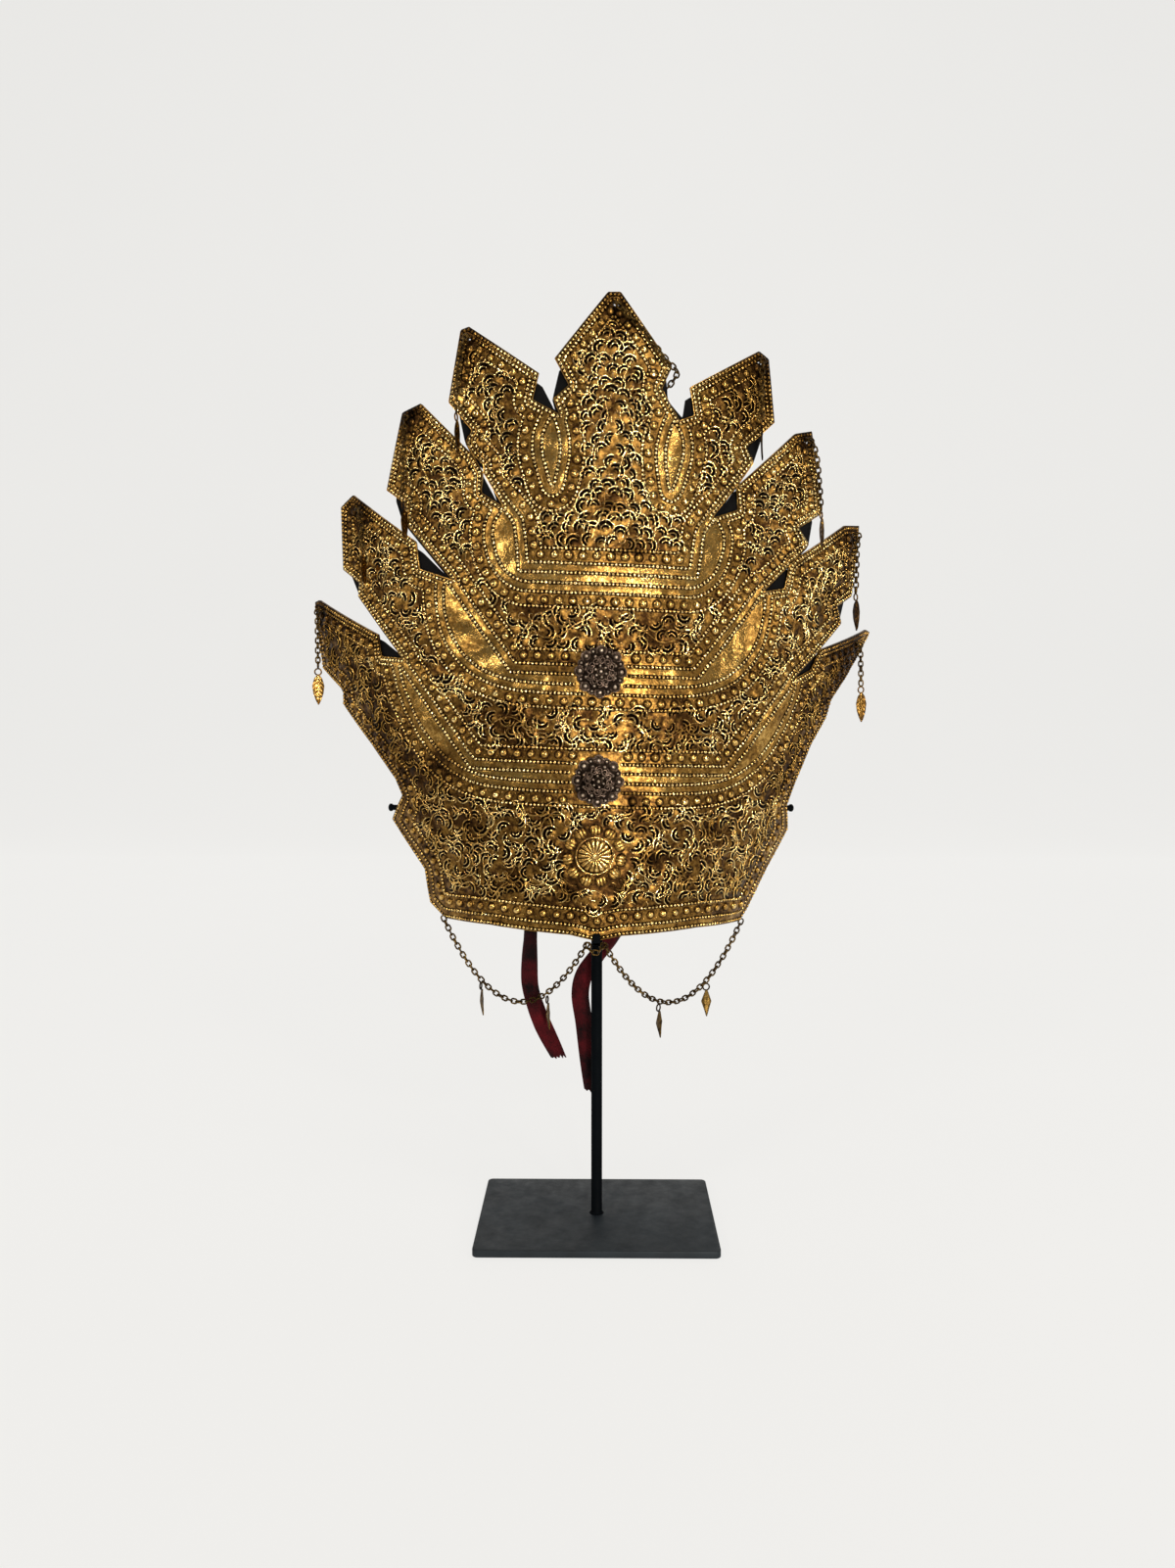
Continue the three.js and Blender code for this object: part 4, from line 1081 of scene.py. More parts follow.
def unbroken(points, keep):
    """Runs of kept points along a line"""
    breaks = np.flatnonzero(np.diff(keep.astype(int))) + 1
    for run, kept in zip(np.split(points, breaks), np.split(keep, breaks)):
        if kept[0] and len(run) > 2:
            yield run


def make_beads(material):
    """Rows of beads, each on a strip of painted shade"""
    beads, bead_shade = Gathered(), Gathered()
    shape = dome_shape(*BEAD)
    lines = [(line, False, True) for line in UPPER_LINES + LOWER_LINES + TEARDROPS]
    lines += [(line, True, True) for line in contour("edge", EDGE_BEADS)]
    for level in (STRIP_WIDTH, INNER_BEADS):
        lines += [(line, False, False) for line in contour("border", level)]
    for line, closed, on_border in lines:
        places, along = evenly(line, BEAD_PITCH, closed)
        keep = clear_of_rosettes(places, ROSETTE_RADIUS - BEAD_COVER)
        keep &= (field_at("flower", places) > FLOWER_REACH) & (field_at("edge", places) > BEAD_EDGE)
        if not on_border:
            keep &= field_at("plain", places) < PLAIN_HALF
        for run in unbroken(places, keep):
            set_on(bead_shade, ridge_shape(run, *BEAD_SHADE_STRIP))
        if keep.any():
            stamp(beads, shape, places[keep], heading(along[keep]), drawn(keep.sum(), BEAD_SIZES))
    emboss("beads", beads, material)
    emboss("bead_shade", bead_shade, material)


def make_bosses(material):
    """Rows of round bosses, each on a disc of painted shade, with pairs of grains between them"""
    bosses = Gathered()
    shade_disc, boss, grain = (dome_shape(*row) for row in (BOSS_SHADE_DISC, BOSS, BOSS_GRAIN))
    for line in contour("border", BOSS_LINE):
        places, along = evenly(line, BOSS_PITCH, True)
        keep = clear_of_rosettes(places, ROSETTE_RADIUS + BOSS_TO_ROSETTE)
        keep &= field_at("flower", places) > FLOWER_REACH + BOSS_TO_FLOWER
        keep &= field_at("plain", places) < PLAIN_LITTLE
        if not keep.any():
            continue
        places, along = places[keep], along[keep]
        turns, sizes = heading(along), drawn(len(places), BOSS_SIZES)
        stamp(bosses, shade_disc, places, turns, sizes)
        stamp(bosses, boss, places, turns, sizes)
        halves, across = places + along * BOSS_PITCH / 2, np.stack([-along[:, 1], along[:, 0]], 1)
        for side in (-GRAIN_OUT, GRAIN_OUT):
            stamp(bosses, grain, halves + across * side, turns, 1.0)
    emboss("bosses", bosses, material)


def arc(radius, span, steps):
    turn = np.radians(np.linspace(-span / 2, span / 2, steps + 1))
    return radius * np.stack([np.cos(turn), np.sin(turn)], 1)


def taper(count, start, power):
    """Swelling of a ridge along its length"""
    return np.sin(np.linspace(start, 1 - start, count) * np.pi) ** power


def in_foliage(places, room):
    """Which places lie in the foliage, with room to its borders"""
    keep = (field_at("border", places) > FOLIAGE_FROM + room) & (field_at("plain", places) < PLAIN_NONE)
    keep &= field_at("flower", places) > FLOWER_REACH + room
    return keep & clear_of_rosettes(places, ROSETTE_RADIUS + room)


def place_crescents():
    """Places, turns and sizes of the crescents: round the scrolls below, upright and leaning above"""
    places = scattered(CRESCENT_PITCH, CRESCENT_SCATTER)
    places = places[in_foliage(places, CRESCENT_ROOM)]
    x, y = places[:, 0], places[:, 1]
    stray = (rng.random(len(places)) - 0.5) * CRESCENT_STRAY
    sway = LEAN_SWAY * np.sin(np.abs(x) / LEAN_ACROSS + LEAN_SHIFT * np.sin(y / LEAN_RISE))
    upright = np.pi / 2 - np.sign(x) * (sway + LEAN_OUT)
    nearest = np.hypot(*np.moveaxis(places[:, None] - HUBS[None], -1, 0)).argmin(1)
    wound = heading(places - HUBS[nearest]) + WINDING[nearest] * SCROLL_TWIST
    turns = np.where(y > SCROLL_BELOW, upright, wound) + stray
    return places, turns, drawn(len(places), CRESCENT_SIZES)


def swell_ground(places, sizes):
    """Raises the sheet under each crescent and paints a highlight on the swelling"""
    for place, size in zip(places, sizes):
        reach = SWELL_REACH * size
        start = np.maximum(((place - SWELL_CUT * reach - GRID_LOW) / GRID_STEP).astype(int), 0)
        end = ((place + SWELL_CUT * reach - GRID_LOW) / GRID_STEP).astype(int) + 1
        x, y = (
            np.arange(start[k], min(end[k], GRID_SHAPE[k])) * GRID_STEP + GRID_LOW[k] - place[k]
            for k in (0, 1)
        )
        bump = np.exp(-(x[:, None] ** 2 + y[None, :] ** 2) / reach**2)
        cut = slice(start[0], end[0]), slice(start[1], end[1])
        fields["height"][cut] += SWELL_RAISE * bump
        # Painted highlight on the swelling
        fields["ground"][cut] += SWELL_HIGHLIGHT * bump


# Middles of the scrolls and the way each winds, then the crescents
HUBS = scattered(SCROLL_PITCH, SCROLL_SCATTER)
WINDING = np.where(HUBS[:, 0] > 0, 1.0, -1.0)
CRESCENTS = place_crescents()
swell_ground(CRESCENTS[0], CRESCENTS[2])


def stem_lines():
    """Wavy stems between the crescents above, vines along the bands, and arcs round the scrolls below"""
    low, high = EDGE.min(0), EDGE.max(0)
    lines = []
    for x in np.arange(low[0], high[0], STEM_PITCH):
        for y in np.arange(SCROLL_BELOW, high[1], STEM_LENGTH):
            rise = y + np.linspace(0, STEM_LENGTH * STEM_SHARE, STEM_POINTS)
            lines.append(np.stack([x + STEM_SWAY * np.sin(rise / STEM_WAVE + x), rise], 1))
    wound = np.linspace(0, SCROLL_TURN, SCROLL_POINTS)
    radius = SCROLL_RADIUS * (1 - SCROLL_NARROWING * wound / SCROLL_TURN)
    below = HUBS[:, 1] < VINE_RISES[-1]
    for hub, winding in zip(HUBS[below], WINDING[below]):
        turn = winding * wound + rng.random() * 2 * np.pi
        lines.append(hub + radius[:, None] * np.stack([np.cos(turn), np.sin(turn)], 1))
    across = np.linspace(low[0], high[0], VINE_POINTS)
    for rise in VINE_RISES:
        lines.append(np.stack([across, rise + VINE_SWAY * np.sin(np.abs(across) / VINE_WAVE)], 1))
    for line in lines:
        for run in unbroken(line, in_foliage(line, STEM_ROOM)):
            if len(run) > STEM_LEAST:
                yield run


def make_foliage(material):
    """Crescents with shade painted in their hollows, stems between them, and small curls"""
    leaves, hollow_shade = Gathered(), Gathered()
    swell = taper(CRESCENT_STEPS + 1, *LEAF_TAPER)
    for radius, *ridge in CRESCENT:
        shape = ridge_shape(arc(radius, CRESCENT_SPAN, CRESCENT_STEPS), *ridge, swell)
        # Rows whose top tone is below zero are the painted shade in the hollows
        stamp(hollow_shade if ridge[-1] < 0 else leaves, shape, *CRESCENTS)
    for line in stem_lines():
        set_on(leaves, ridge_shape(line, *STEM, taper(len(line), *STEM_TAPER)))
    curls = scattered(CURL_PITCH, CURL_PITCH)
    curls = curls[in_foliage(curls, CURL_ROOM)]
    shape = ridge_shape(arc(CURL_RADIUS, CURL_SPAN, CURL_STEPS), *CURL, taper(CURL_STEPS + 1, *LEAF_TAPER))
    turns = rng.random(len(curls)) * 2 * np.pi
    stamp(leaves, shape, curls, turns, drawn(len(curls), CURL_SIZES))
    emboss("foliage", leaves, material)
    emboss("foliage_hollow_shade", hollow_shade, material)


def make_flower(material):
    """Folded heart, a ring of grooved pads, and the rings between them, with shade painted in their folds and
    grooves and highlight on their crests
    """
    flower = Gathered()

    def heart(share, turn):
        fold = np.abs(np.cos(turn * HEART_PETALS / 2)) ** FOLD_POWER
        eye = share < HEART_EYE
        lift = (HEART_HEIGHT + HEART_SWELL * np.sin(share * np.pi)) * (HEART_FOLD + (1 - HEART_FOLD) * fold)
        # Tone: painted shade in the fold valleys, painted highlight on the crests
        return np.where(eye, HEART_EYE_HEIGHT, lift), np.where(eye, HEART_EYE_TONE, HEART_FOLD_SHADE + fold)

    def pad(share, turn):
        fold = np.abs(np.cos(share * np.sin(turn) * np.pi * PAD_GROOVES / 2)) ** FOLD_POWER
        lift = PAD_HEIGHT * np.sqrt(1 - PAD_FALL * share**2) * (PAD_FOLD + (1 - PAD_FOLD) * fold)
        # Tone: painted shade in the grooves and towards the rim
        return lift, (PAD_SHADE_AND_HIGHLIGHT[0] + PAD_SHADE_AND_HIGHLIGHT[1] * fold) * (1 - PAD_RIM_SHADE * share**3)

    middle = np.array([FLOWER])
    stamp(flower, polar_shape(HEART_RADIUS, *HEART_MESH, heart), middle, np.zeros(1), 1.0)
    turns = np.arange(PADS) * 2 * np.pi / PADS
    points, faces, tone = polar_shape(1.0, *PAD_MESH, pad)
    ring = middle + PAD_RING * np.stack([np.sin(turns), np.cos(turns)], 1)
    stamp(flower, (points * (*PAD_SIZE, 1), faces, tone), ring, np.pi / 2 - turns, 1.0)
    for radius, *ridge in FLOWER_RINGS:
        line = closed_line(circle(radius, FLOWER_RING_SIDES, FLOWER))
        points, faces, tone = ridge_shape(line, *ridge)
        flower.add(points + (0, 0, SHEET_THICK), faces, tone)
    flat, faces, tone = flower.arrays()
    settle(make_piece("flower", crown_points(flat), faces, tone * FLOWER_SHADE), material, "gilt")


# Backing, rosettes, chains and drops


def make_backing(material):
    loop = whole(BACKING, BACKING_LEFT)

    def eased(points):
        return BACKING_EASE * (1 - pillow(distance_to(points, [closed_line(loop)]), BACKING_ROUND))

    def front_at(points):
        return BACKING_FRONT - eased(points)

    flat, faces, front = sheet_mesh(loop, BACKING_STEPS, front_at, BACKING_FRONT - BACKING_THICK)
    flat[front:, 2] += eased(flat[front:, :2])
    piece = make_piece("backing", crown_points(flat), faces, sharp=SHARP["backing"])
    settle(piece, material, "cloth", "crown_backing")


def make_rosette(name, across, rise, work_material, grain_material):
    turn, place = frame_on(across, rise, SHEET_THICK + BAND_RAISE + GAP)
    work, grains = Gathered(), Gathered()

    def spots(count, first, out):
        for angle in first + np.arange(count) * 2 * np.pi / count:
            yield out * math.cos(angle), out * math.sin(angle)

    def plate(share, angle):
        lobes = 0.5 + 0.5 * np.cos(angle * ROSETTE_LOBES)
        dome = ROSETTE_DOME * np.cos(np.minimum(share, 1) * np.pi / 2) ** ROSETTE_POWER
        tone = ROSETTE_TONES[0] + ROSETTE_TONES[1] * share
        return ROSETTE_RIM + dome + LOBE_RAISE * lobes * share, tone

    points, faces, tone = polar_shape(ROSETTE_RADIUS - ROSETTE_INSET, *ROSETTE_MESH, plate)
    work.add(points + (0, 0, ROSETTE_LIFT), faces, tone)
    for *ring, height_up, radius, wire, shade in ROSETTE_RINGS:
        for spot in spots(*ring):
            line = np.column_stack([circle(radius, RING_STEPS, spot), np.full(RING_STEPS, height_up)])
            work.add(*sweep(line, wire, WIRE_SIDES, closed=True), shade)
    for *ring, height_up, radius in ROSETTE_GRAINS:
        shape = dome_shape(radius, radius * GRAIN_RISE, *GRAIN_MESH, radius * GRAIN_SINK, *GRAIN_SHADE_AND_HIGHLIGHT)
        for spot in spots(*ring):
            grains.add(shape[0] + (*spot, height_up), *shape[1:])
    share = np.linspace(0, 1, COIL_POINTS)
    radius = COIL_RADII[0] + COIL_RADII[1] * share
    for angle in COIL_FIRST + np.arange(COILS) * 2 * np.pi / COILS:
        for hand in (-1, 1):
            wind = hand * (1 - share) * COIL_TURN + angle
            x = COIL_OUT * math.cos(angle + hand * COIL_LEAN) + radius * np.cos(wind)
            y = COIL_OUT * math.sin(angle + hand * COIL_LEAN) + radius * np.sin(wind)
            line = np.stack([x, y, COIL_TOP - COIL_FALL * np.hypot(x, y)], 1)
            work.add(*sweep(line, COIL_WIRE, WIRE_SIDES), COIL_TONE)
    for label, gathered, material, nodes in (
        ("_work", work, work_material, [name]),
        ("_work_grains", grains, grain_material, []),
    ):
        points, faces, tone = gathered.arrays()
        piece = make_piece(name + label, points @ turn.T + place, faces, tone)
        settle(piece, material, "oxidised", *nodes)


def oval(length, width, steps):
    """Middle line of a chain link, along X"""
    line = np.column_stack([circle(width / 2, steps), np.zeros(steps)])
    line[:, 0] += (length - width) / 2 * np.sign(np.round(line[:, 0], DIGITS))
    return line


def make_chain(name, line, material, *nodes):
    """Links along a line, every second one facing forwards and those between turned edgeways"""
    links = Gathered()
    places, along = evenly(line, LINK_LENGTH - LINK_OVERLAP * LINK_WIRE)
    middle_line = oval(LINK_LENGTH - 2 * LINK_WIRE, LINK_WIDTH - 2 * LINK_WIRE, LINK_STEPS)
    points, faces = sweep(middle_line, LINK_WIRE, WIRE_SIDES, closed=True)
    side = np.cross(along[0], LINK_SIDE)
    for k, (place, direction) in enumerate(zip(places, along)):
        spread = np.cross(direction, LINK_FACING)
        if np.linalg.norm(spread) > LINK_LEAST:
            side = spread
        side = side - direction * (side @ direction)
        side /= np.linalg.norm(side)
        angle = (k % 2) * LINK_TURN + LINK_SWAY * math.sin(k * LINK_SWAY_STEP)
        across = math.cos(angle) * side + math.sin(angle) * np.cross(direction, side)
        basis = np.stack([direction, across, np.cross(direction, across)], axis=1)
        links.add(points @ basis.T + place, faces, LINK_TONE)
    settle(make_piece(name, *links.arrays()), material, "dark_brass", *nodes)


def tip_line(label, across, rise, length, drift, turn):
    """Line of a tip chain, from behind its hole down to the place of its leaf"""
    behind = crown_point(across, rise, -CHAIN_BEHIND)
    if label == "c":
        line = [behind, *crown_points(CENTRE_CHAIN)]
        return smooth_line(line, SHORT_STEPS), line[-1]
    front = crown_point(across, rise, CHAIN_STANDOFF)
    inward = max(0.0, -np.sign(across) * drift)
    reach = LEAF["width"] / 2 * math.sin(math.radians(turn))
    forward = inward * math.tan(abs(across) / radius_at(rise)) + reach
    end = front + (drift, -forward, -length)
    bends = [front + (end - front) * way + early * np.array([drift, -forward, 0]) for way, early in TIP_BENDS]
    return smooth_line([behind, front, *bends, end], CURVE_STEPS), end


def blade(outline, width, length, curl, veins):
    """A thin drop with a raised middle rib and veins, hanging below its ring"""
    shares, halves = np.transpose(outline)
    front, back, tones = [], [], []
    for share in np.linspace(0, 1, BLADE_STEPS):
        reach = np.interp(share, shares, halves) * width
        for u in np.arange(-BLADE_HALVES, BLADE_HALVES + 1) / BLADE_HALVES:
            x, y = reach * u, -2 * RING_RADIUS - RING_WIRE - share * length
            turn = (share * LEAF_VEINS - abs(u) * VEIN_SLANT) * 2 * math.pi
            wave = max(0.0, math.cos(turn)) * (1 - abs(u) ** 3)
            rib = RIB_HEIGHT * math.exp(-((x / RIB_WIDTH) ** 2)) * (1 - share)
            bow = curl * (share - CURL_MIDDLE) ** 2 + BLADE_BOW * u * u * min(1.0, reach)
            front.append((x, y, BLADE_HALF + bow + rib + veins * wave))
            back.append((x, y, -BLADE_HALF + bow + RIB_BACK * rib))
            # Painted highlight on the raised veins and rib
            tones.append(VEIN_HIGHLIGHT_TONES[0] + VEIN_HIGHLIGHT_TONES[1] * wave + rib if veins else SMOOTH_TONE)
    faces = strip_faces(BLADE_STEPS, 2 * BLADE_HALVES + 1)
    return np.array(front + back), faces, np.array(tones + [BLADE_BACK_TONE] * len(back))


def make_drop(node, shape, turn, place, shade, material, slot):
    """A drop with its ring, turned about the upright line through the ring"""
    drop = Gathered()
    points, faces, tone = blade(**shape)
    drop.add(points, faces, tone * shade)
    ring = circle(RING_RADIUS, RING_SIDES, (0, -RING_RADIUS - RING_WIRE))
    ring = np.column_stack([ring, np.zeros(RING_SIDES)])
    drop.add(*sweep(ring, RING_WIRE, RING_WIRE_SIDES, closed=True), RING_TONE)
    points, faces, tone = drop.arrays()
    cos, sin = math.cos(math.radians(turn)), math.sin(math.radians(turn))
    hung = np.array([[cos, 0, sin], [sin, 0, -cos], [0, 1, 0]])
    piece = make_piece(node + "_blade", points @ hung.T + place, faces, tone, sharp=SHARP["drop"])
    settle(piece, material, slot, node)


def make_tip_chains(chain_material, leaf_material):
    for label, (*hole, length, drift, turn, shade) in TIPS.items():
        line, end = tip_line(label, *hole, length, drift, turn)
        node = "tip_chain_" + label
        make_chain(node + "_links", line, chain_material, node)
        make_drop("leaf_" + label, LEAF, turn, end - (0, 0, GAP), shade, leaf_material, "gilt")


def swag_point(side, across, rise, share):
    end = crown_point(across, rise, SWAG_STANDOFF)
    middle = crown_point(side * SWAG_MIDDLE[0], *SWAG_MIDDLE[1:]) - (0, 0, SWAG_MIDDLE_DROP)
    return end + (middle - end) * share - (0, 0, 4 * SWAG_SAG * share * (1 - share))


def make_swags(material):
    for name, row in SWAGS.items():
        line = np.array([swag_point(*row, share) for share in np.linspace(0, 1, SWAG_POINTS)])
        make_chain(name + "_links", line, material, name)
    left, right = (swag_point(*row, 1) for row in SWAGS.values())
    between = [(left + right) / 2 + step for step in SWAG_JOIN]
    make_chain("swag_join", smooth_line([left, *between, right], SHORT_STEPS), material)
    for name, (swag, share, turn) in LOZENGES.items():
        place = swag_point(*SWAGS[swag], share) - (0, 0, LOZENGE_DROP)
        make_drop(name, LOZENGE, turn, place, LOZENGE_TONE, material, "dark_brass")


# Cloth ties


def make_tie(name, sewn, fall, material):
    line = smooth_line([*(crown_point(*place, TIE_BEHIND) for place in sewn), *fall], CURVE_STEPS)
    run = np.concatenate([[0], np.cumsum(np.linalg.norm(np.diff(line, axis=0), axis=1))])
    facing = -(SEAT_TURN @ skin_normal(*np.array(sewn[:1], float).T)[0])
    shares, bends, tones = np.transpose(TIE_FOLDS[name])
    bends = np.interp(run / run[-1], shares, bends) / 2
    tone = np.repeat(np.interp(run / run[-1], shares, tones), TIE_COLUMNS)
    free = ease(*TIE_FREE, run)
    front, back = [], []
    for k, (place, direction) in enumerate(zip(line, directions(line))):
        broad = np.cross(direction, facing)
        broad /= np.linalg.norm(broad)
        deep = np.cross(broad, direction)
        for column, u in enumerate(np.linspace(-1, 1, TIE_COLUMNS)):
            wave = free[k] * TIE_WAVE * math.sin(run[k] / TIE_WAVE_LENGTH + u * TIE_WAVE_SKEW)
            cos, sin = math.cos(u * bends[k]), math.sin(u * bends[k])
            folded = (broad * sin + deep * (1 - cos)) / bends[k] * TIE_WIDTH / 2
            ragged = 0.0
            if k == len(line) - 1:
                ragged = TIE_SLANT * u + TIE_FRAY * (math.sin(column * TIE_FRAY_STEP) - 1)
            point = place + folded - deep * wave + direction * ragged
            outward = (deep * cos - broad * sin) * TIE_THICK / 2
            front.append(point - outward)
            back.append(point + outward)
    faces = strip_faces(len(line), TIE_COLUMNS)
    piece = make_piece(name + "_cloth", np.array(front + back), faces, np.tile(tone, 2), sharp=SHARP["tie"])
    settle(piece, material, "red_cloth", name)


# Stand


def rounded_box(size, corner, bevel, place):
    """Closed points and triangles of a plate with round corners and eased edges"""
    half = np.array(size) / 2
    loop = []
    for x, y, start in ((1, -1, -90), (1, 1, 0), (-1, 1, 90), (-1, -1, 180)):
        for t in np.radians(np.linspace(start, start + 90, CORNER_STEPS + 1)):
            loop.append((x * (half[0] - corner), y * (half[1] - corner), math.cos(t), math.sin(t)))
    rows = []
    for side, ends in ((-1, (-90, 0)), (1, (0, 90))):
        for lift in np.radians(np.linspace(*ends, BEVEL_STEPS)):
            reach = corner - bevel * (1 - math.cos(lift))
            rows.append((reach, side * (half[2] - bevel) + bevel * math.sin(lift)))
    points = [(x + reach * cos, y + reach * sin, z) for reach, z in rows for x, y, cos, sin in loop]
    faces = rows_to_triangles(len(rows), len(loop), close_columns=True) + caps(len(rows), len(loop))
    return np.array(points) + place, faces


def make_stand(paint, dark_paint):
    base, rods = Gathered(), Gathered()
    base.add(*rounded_box(BASE_SIZE, BASE_CORNER, BASE_BEVEL, (0, 0, BASE_SIZE[2] / 2)), 1)
    post = [(BASE_SIZE[2] + up, past) for up, past in POST_FOOT]
    post += [(POST_TOP + up, past) for up, past in POST_HEAD]
    heights, past = np.transpose(post)
    rods.add(*sweep(np.stack([0 * heights, 0 * heights, heights], 1), POST_RADIUS + past, POST_SIDES), 1)
    hem = crown_point(0, 0, SHEET_THICK + BAND_RAISE)
    front, under = hem[1] - GAP - HOOK_THICK, hem[2] - HOOK_CLEAR
    tray = (HOOK_WIDTH, -front, HOOK_THICK)
    rods.add(*rounded_box(tray, HOOK_CORNER, TRAY_BEVEL, (0, front / 2, under - HOOK_THICK / 2)), 1)
    lip = (HOOK_WIDTH, HOOK_THICK, HOOK_LIP)
    place = (0, front + HOOK_THICK / 2, under - HOOK_THICK + HOOK_LIP / 2)
    rods.add(*rounded_box(lip, HOOK_CORNER, LIP_BEVEL, place), 1)
    for across, rise in ARMS:
        notch = crown_point(across, rise, 0)
        start = np.array([0, 0, notch[2]])
        out = (notch - start) / np.linalg.norm(notch - start)
        line = [start, *(notch + out * past for past, _ in ARM_END)]
        radii = np.array([1, *(share for _, share in ARM_END)]) * ARM_RADIUS
        rods.add(*sweep(line, radii, ARM_SIDES), 1)
    for name, gathered, material, nodes in (
        ("stand_base", base, paint, []),
        ("stand_frame", rods, dark_paint, ["stand"]),
    ):
        points, faces, _ = gathered.arrays()
        settle(make_piece(name, points, faces, sharp=SHARP["stand"]), material, "black_metal", *nodes)


# Materials

# Colours: place on the ramp, red, green and blue
GILT = [
    (0.0, (0.006, 0.003, 0.0012)), (0.25, (0.055, 0.025, 0.007)), (0.5, (0.27, 0.14, 0.03)),
    (0.75, (0.62, 0.37, 0.098)), (1.0, (0.95, 0.73, 0.32)),
]
DARK_BRASS = [(0.0, (0.008, 0.004, 0.0015)), (0.5, (0.045, 0.025, 0.007)), (1.0, (0.24, 0.145, 0.038))]
OXIDISED = [(0.0, (0.003, 0.002, 0.001)), (0.5, (0.02, 0.013, 0.009)), (1.0, (0.14, 0.096, 0.069))]
GRAIN = [(0.0, (0.04, 0.025, 0.015)), (0.6, (0.32, 0.22, 0.14)), (1.0, (0.72, 0.58, 0.44))]
# The backing's cloth, made near black: its colour is partly painted shade of the space seen behind the sheet
# between the tips
SHADED_BACKING_COLOURS = [(0.2, (0.0012, 0.0012, 0.0013)), (0.8, (0.005, 0.0048, 0.005))]
RED_CLOTH = [(0.3, (0.0025, 0.0003, 0.0005)), (0.75, (0.075, 0.0025, 0.005))]
BLACK_PAINT = [(0.3, (0.005, 0.0075, 0.0095)), (0.7, (0.012, 0.017, 0.021))]
BLACK_ROD = [(0.3, (0.0008, 0.0014, 0.002)), (0.7, (0.0016, 0.0026, 0.0036))]
PAPER = [(0.3, (0.08, 0.079, 0.077)), (0.7, (0.088, 0.087, 0.084))]
PAPER_GLOW = (0.9, 0.893, 0.873, 1)
PAPER_STRENGTH = 0.86
PAPER_ROUGH = 0.9
# Metals: colours, roughness where dark and where bare, strength of the stains
METALS = {
    "gilt": (GILT, (0.47, 0.12), 0.2),
    "oxidised": (OXIDISED, (0.5, 0.25), 0.2),
    "grain": (GRAIN, (0.5, 0.3), 0.15),
    "dark_brass": (DARK_BRASS, (0.6, 0.3), 0.2),
}
# Cloths: colours, scale of the weave, weight and tint of the sheen, whether the tone shades it
CLOTHS = {
    "backing_cloth_in_shade": (SHADED_BACKING_COLOURS, 900, 0.01, (0.3, 0.3, 0.32), False),
    "red_velvet": (RED_CLOTH, 700, 0.03, (0.5, 0.04, 0.07), True),
}
# Paints of the stand: colours, ends of the roughness, strength of the gloss
PAINTS = {
    "black_paint": (BLACK_PAINT, (0.42, 0.62), 0.22),
    "black_rod": (BLACK_ROD, (0.6, 0.75), 0.03),
}
# Noises: scale, detail
CLOUDS = (60, 6)
SPECKS = (420, 3)
SHALLOW_DENTS = (330, 3)
CLOTH_SHADE = (60, 5)
CLOTH_NAP = (900, 3)
PAINT_CLOUDS = (45, 6)
PAINT_SHINE = (130, 4)
PAINT_GRAIN = (1500, 3)
PAPER_CLOUDS = (3, 3)
NOISE_ROUGH = 0.6
# Other dents of the metal: scale, detail, weight
OTHER_DENTS = [(1300, 2, 0.4), (170, 2, 1.3)]
# The part of a noise that is used, and what specks and stains change
MOST = (0.3, 0.7)
CLOTH_MOST = (0.25, 0.75)
SPECK_CHANGE = (-0.18, 0.18)
STAIN_BRIGHT = 0.7
# Bumps: strength, depth in metres
METAL_BUMP = (0.3, 0.0009)
CLOTH_BUMP = (0.35, 0.0004)
PAINT_BUMP = (0.15, 0.0003)
CLOTH = {"Roughness": 0.92, "Specular_IOR_Level": 0.15, "Sheen_Roughness": 0.45}
SHADE_WEIGHT = 0.65
NAP_WEIGHT = 0.35
WEAVE_WANDER = 0.6


class Paint:
    """A material and short ways to add nodes to it"""

    def __init__(self, name, **inputs):
        self.material = bpy.data.materials.new(name)
        self.material.use_nodes = True
        self.tree = self.material.node_tree
        self.shader = self.tree.nodes["Principled BSDF"]
        for socket, value in inputs.items():
            self.shader.inputs[socket.replace("_", " ")].default_value = value

    def add(self, kind, settings=None, **inputs):
        node = self.tree.nodes.new(kind)
        for key, value in (settings or {}).items():
            setattr(node, key, value)
        for key, value in inputs.items():
            socket = node.inputs[int(key[1:])] if key[0] == "i" and key[1:].isdigit() else node.inputs[key]
            if hasattr(value, "is_output"):
                self.tree.links.new(value, socket)
            else:
                socket.default_value = value
        return node.outputs

    def noise(self, scale, detail):
        place = self.add("ShaderNodeTexCoord")["Object"]
        settings = {"Vector": place, "Scale": scale, "Detail": detail, "Roughness": NOISE_ROUGH}
        return self.add("ShaderNodeTexNoise", None, **settings)[0]

    def tone(self):
        return self.add("ShaderNodeAttribute", {"attribute_name": "tone"})["Fac"]

    def maths(self, operation, a, b):
        return self.add("ShaderNodeMath", {"operation": operation}, i0=a, i1=b)[0]

    def ramp(self, value, stops):
        node = self.tree.nodes.new("ShaderNodeValToRGB")
        bar = node.color_ramp.elements
        while len(bar) < len(stops):
            bar.new(0.5)
        for element, (place, colour) in zip(bar, stops):
            element.position = place
            element.color = (*colour, 1)
        self.tree.links.new(value, node.inputs[0])
        return node.outputs[0]

    def spread(self, value, low, high, to_low, to_high):
        ends = {"From Min": low, "From Max": high, "To Min": to_low, "To Max": to_high}
        return self.add("ShaderNodeMapRange", None, Value=value, **ends)[0]

    def set(self, socket, value):
        self.tree.links.new(value, self.shader.inputs[socket])

    def bump(self, height, strength, distance):
        out = self.add("ShaderNodeBump", None, Height=height, Strength=strength, Distance=distance)
        self.set("Normal", out[0])


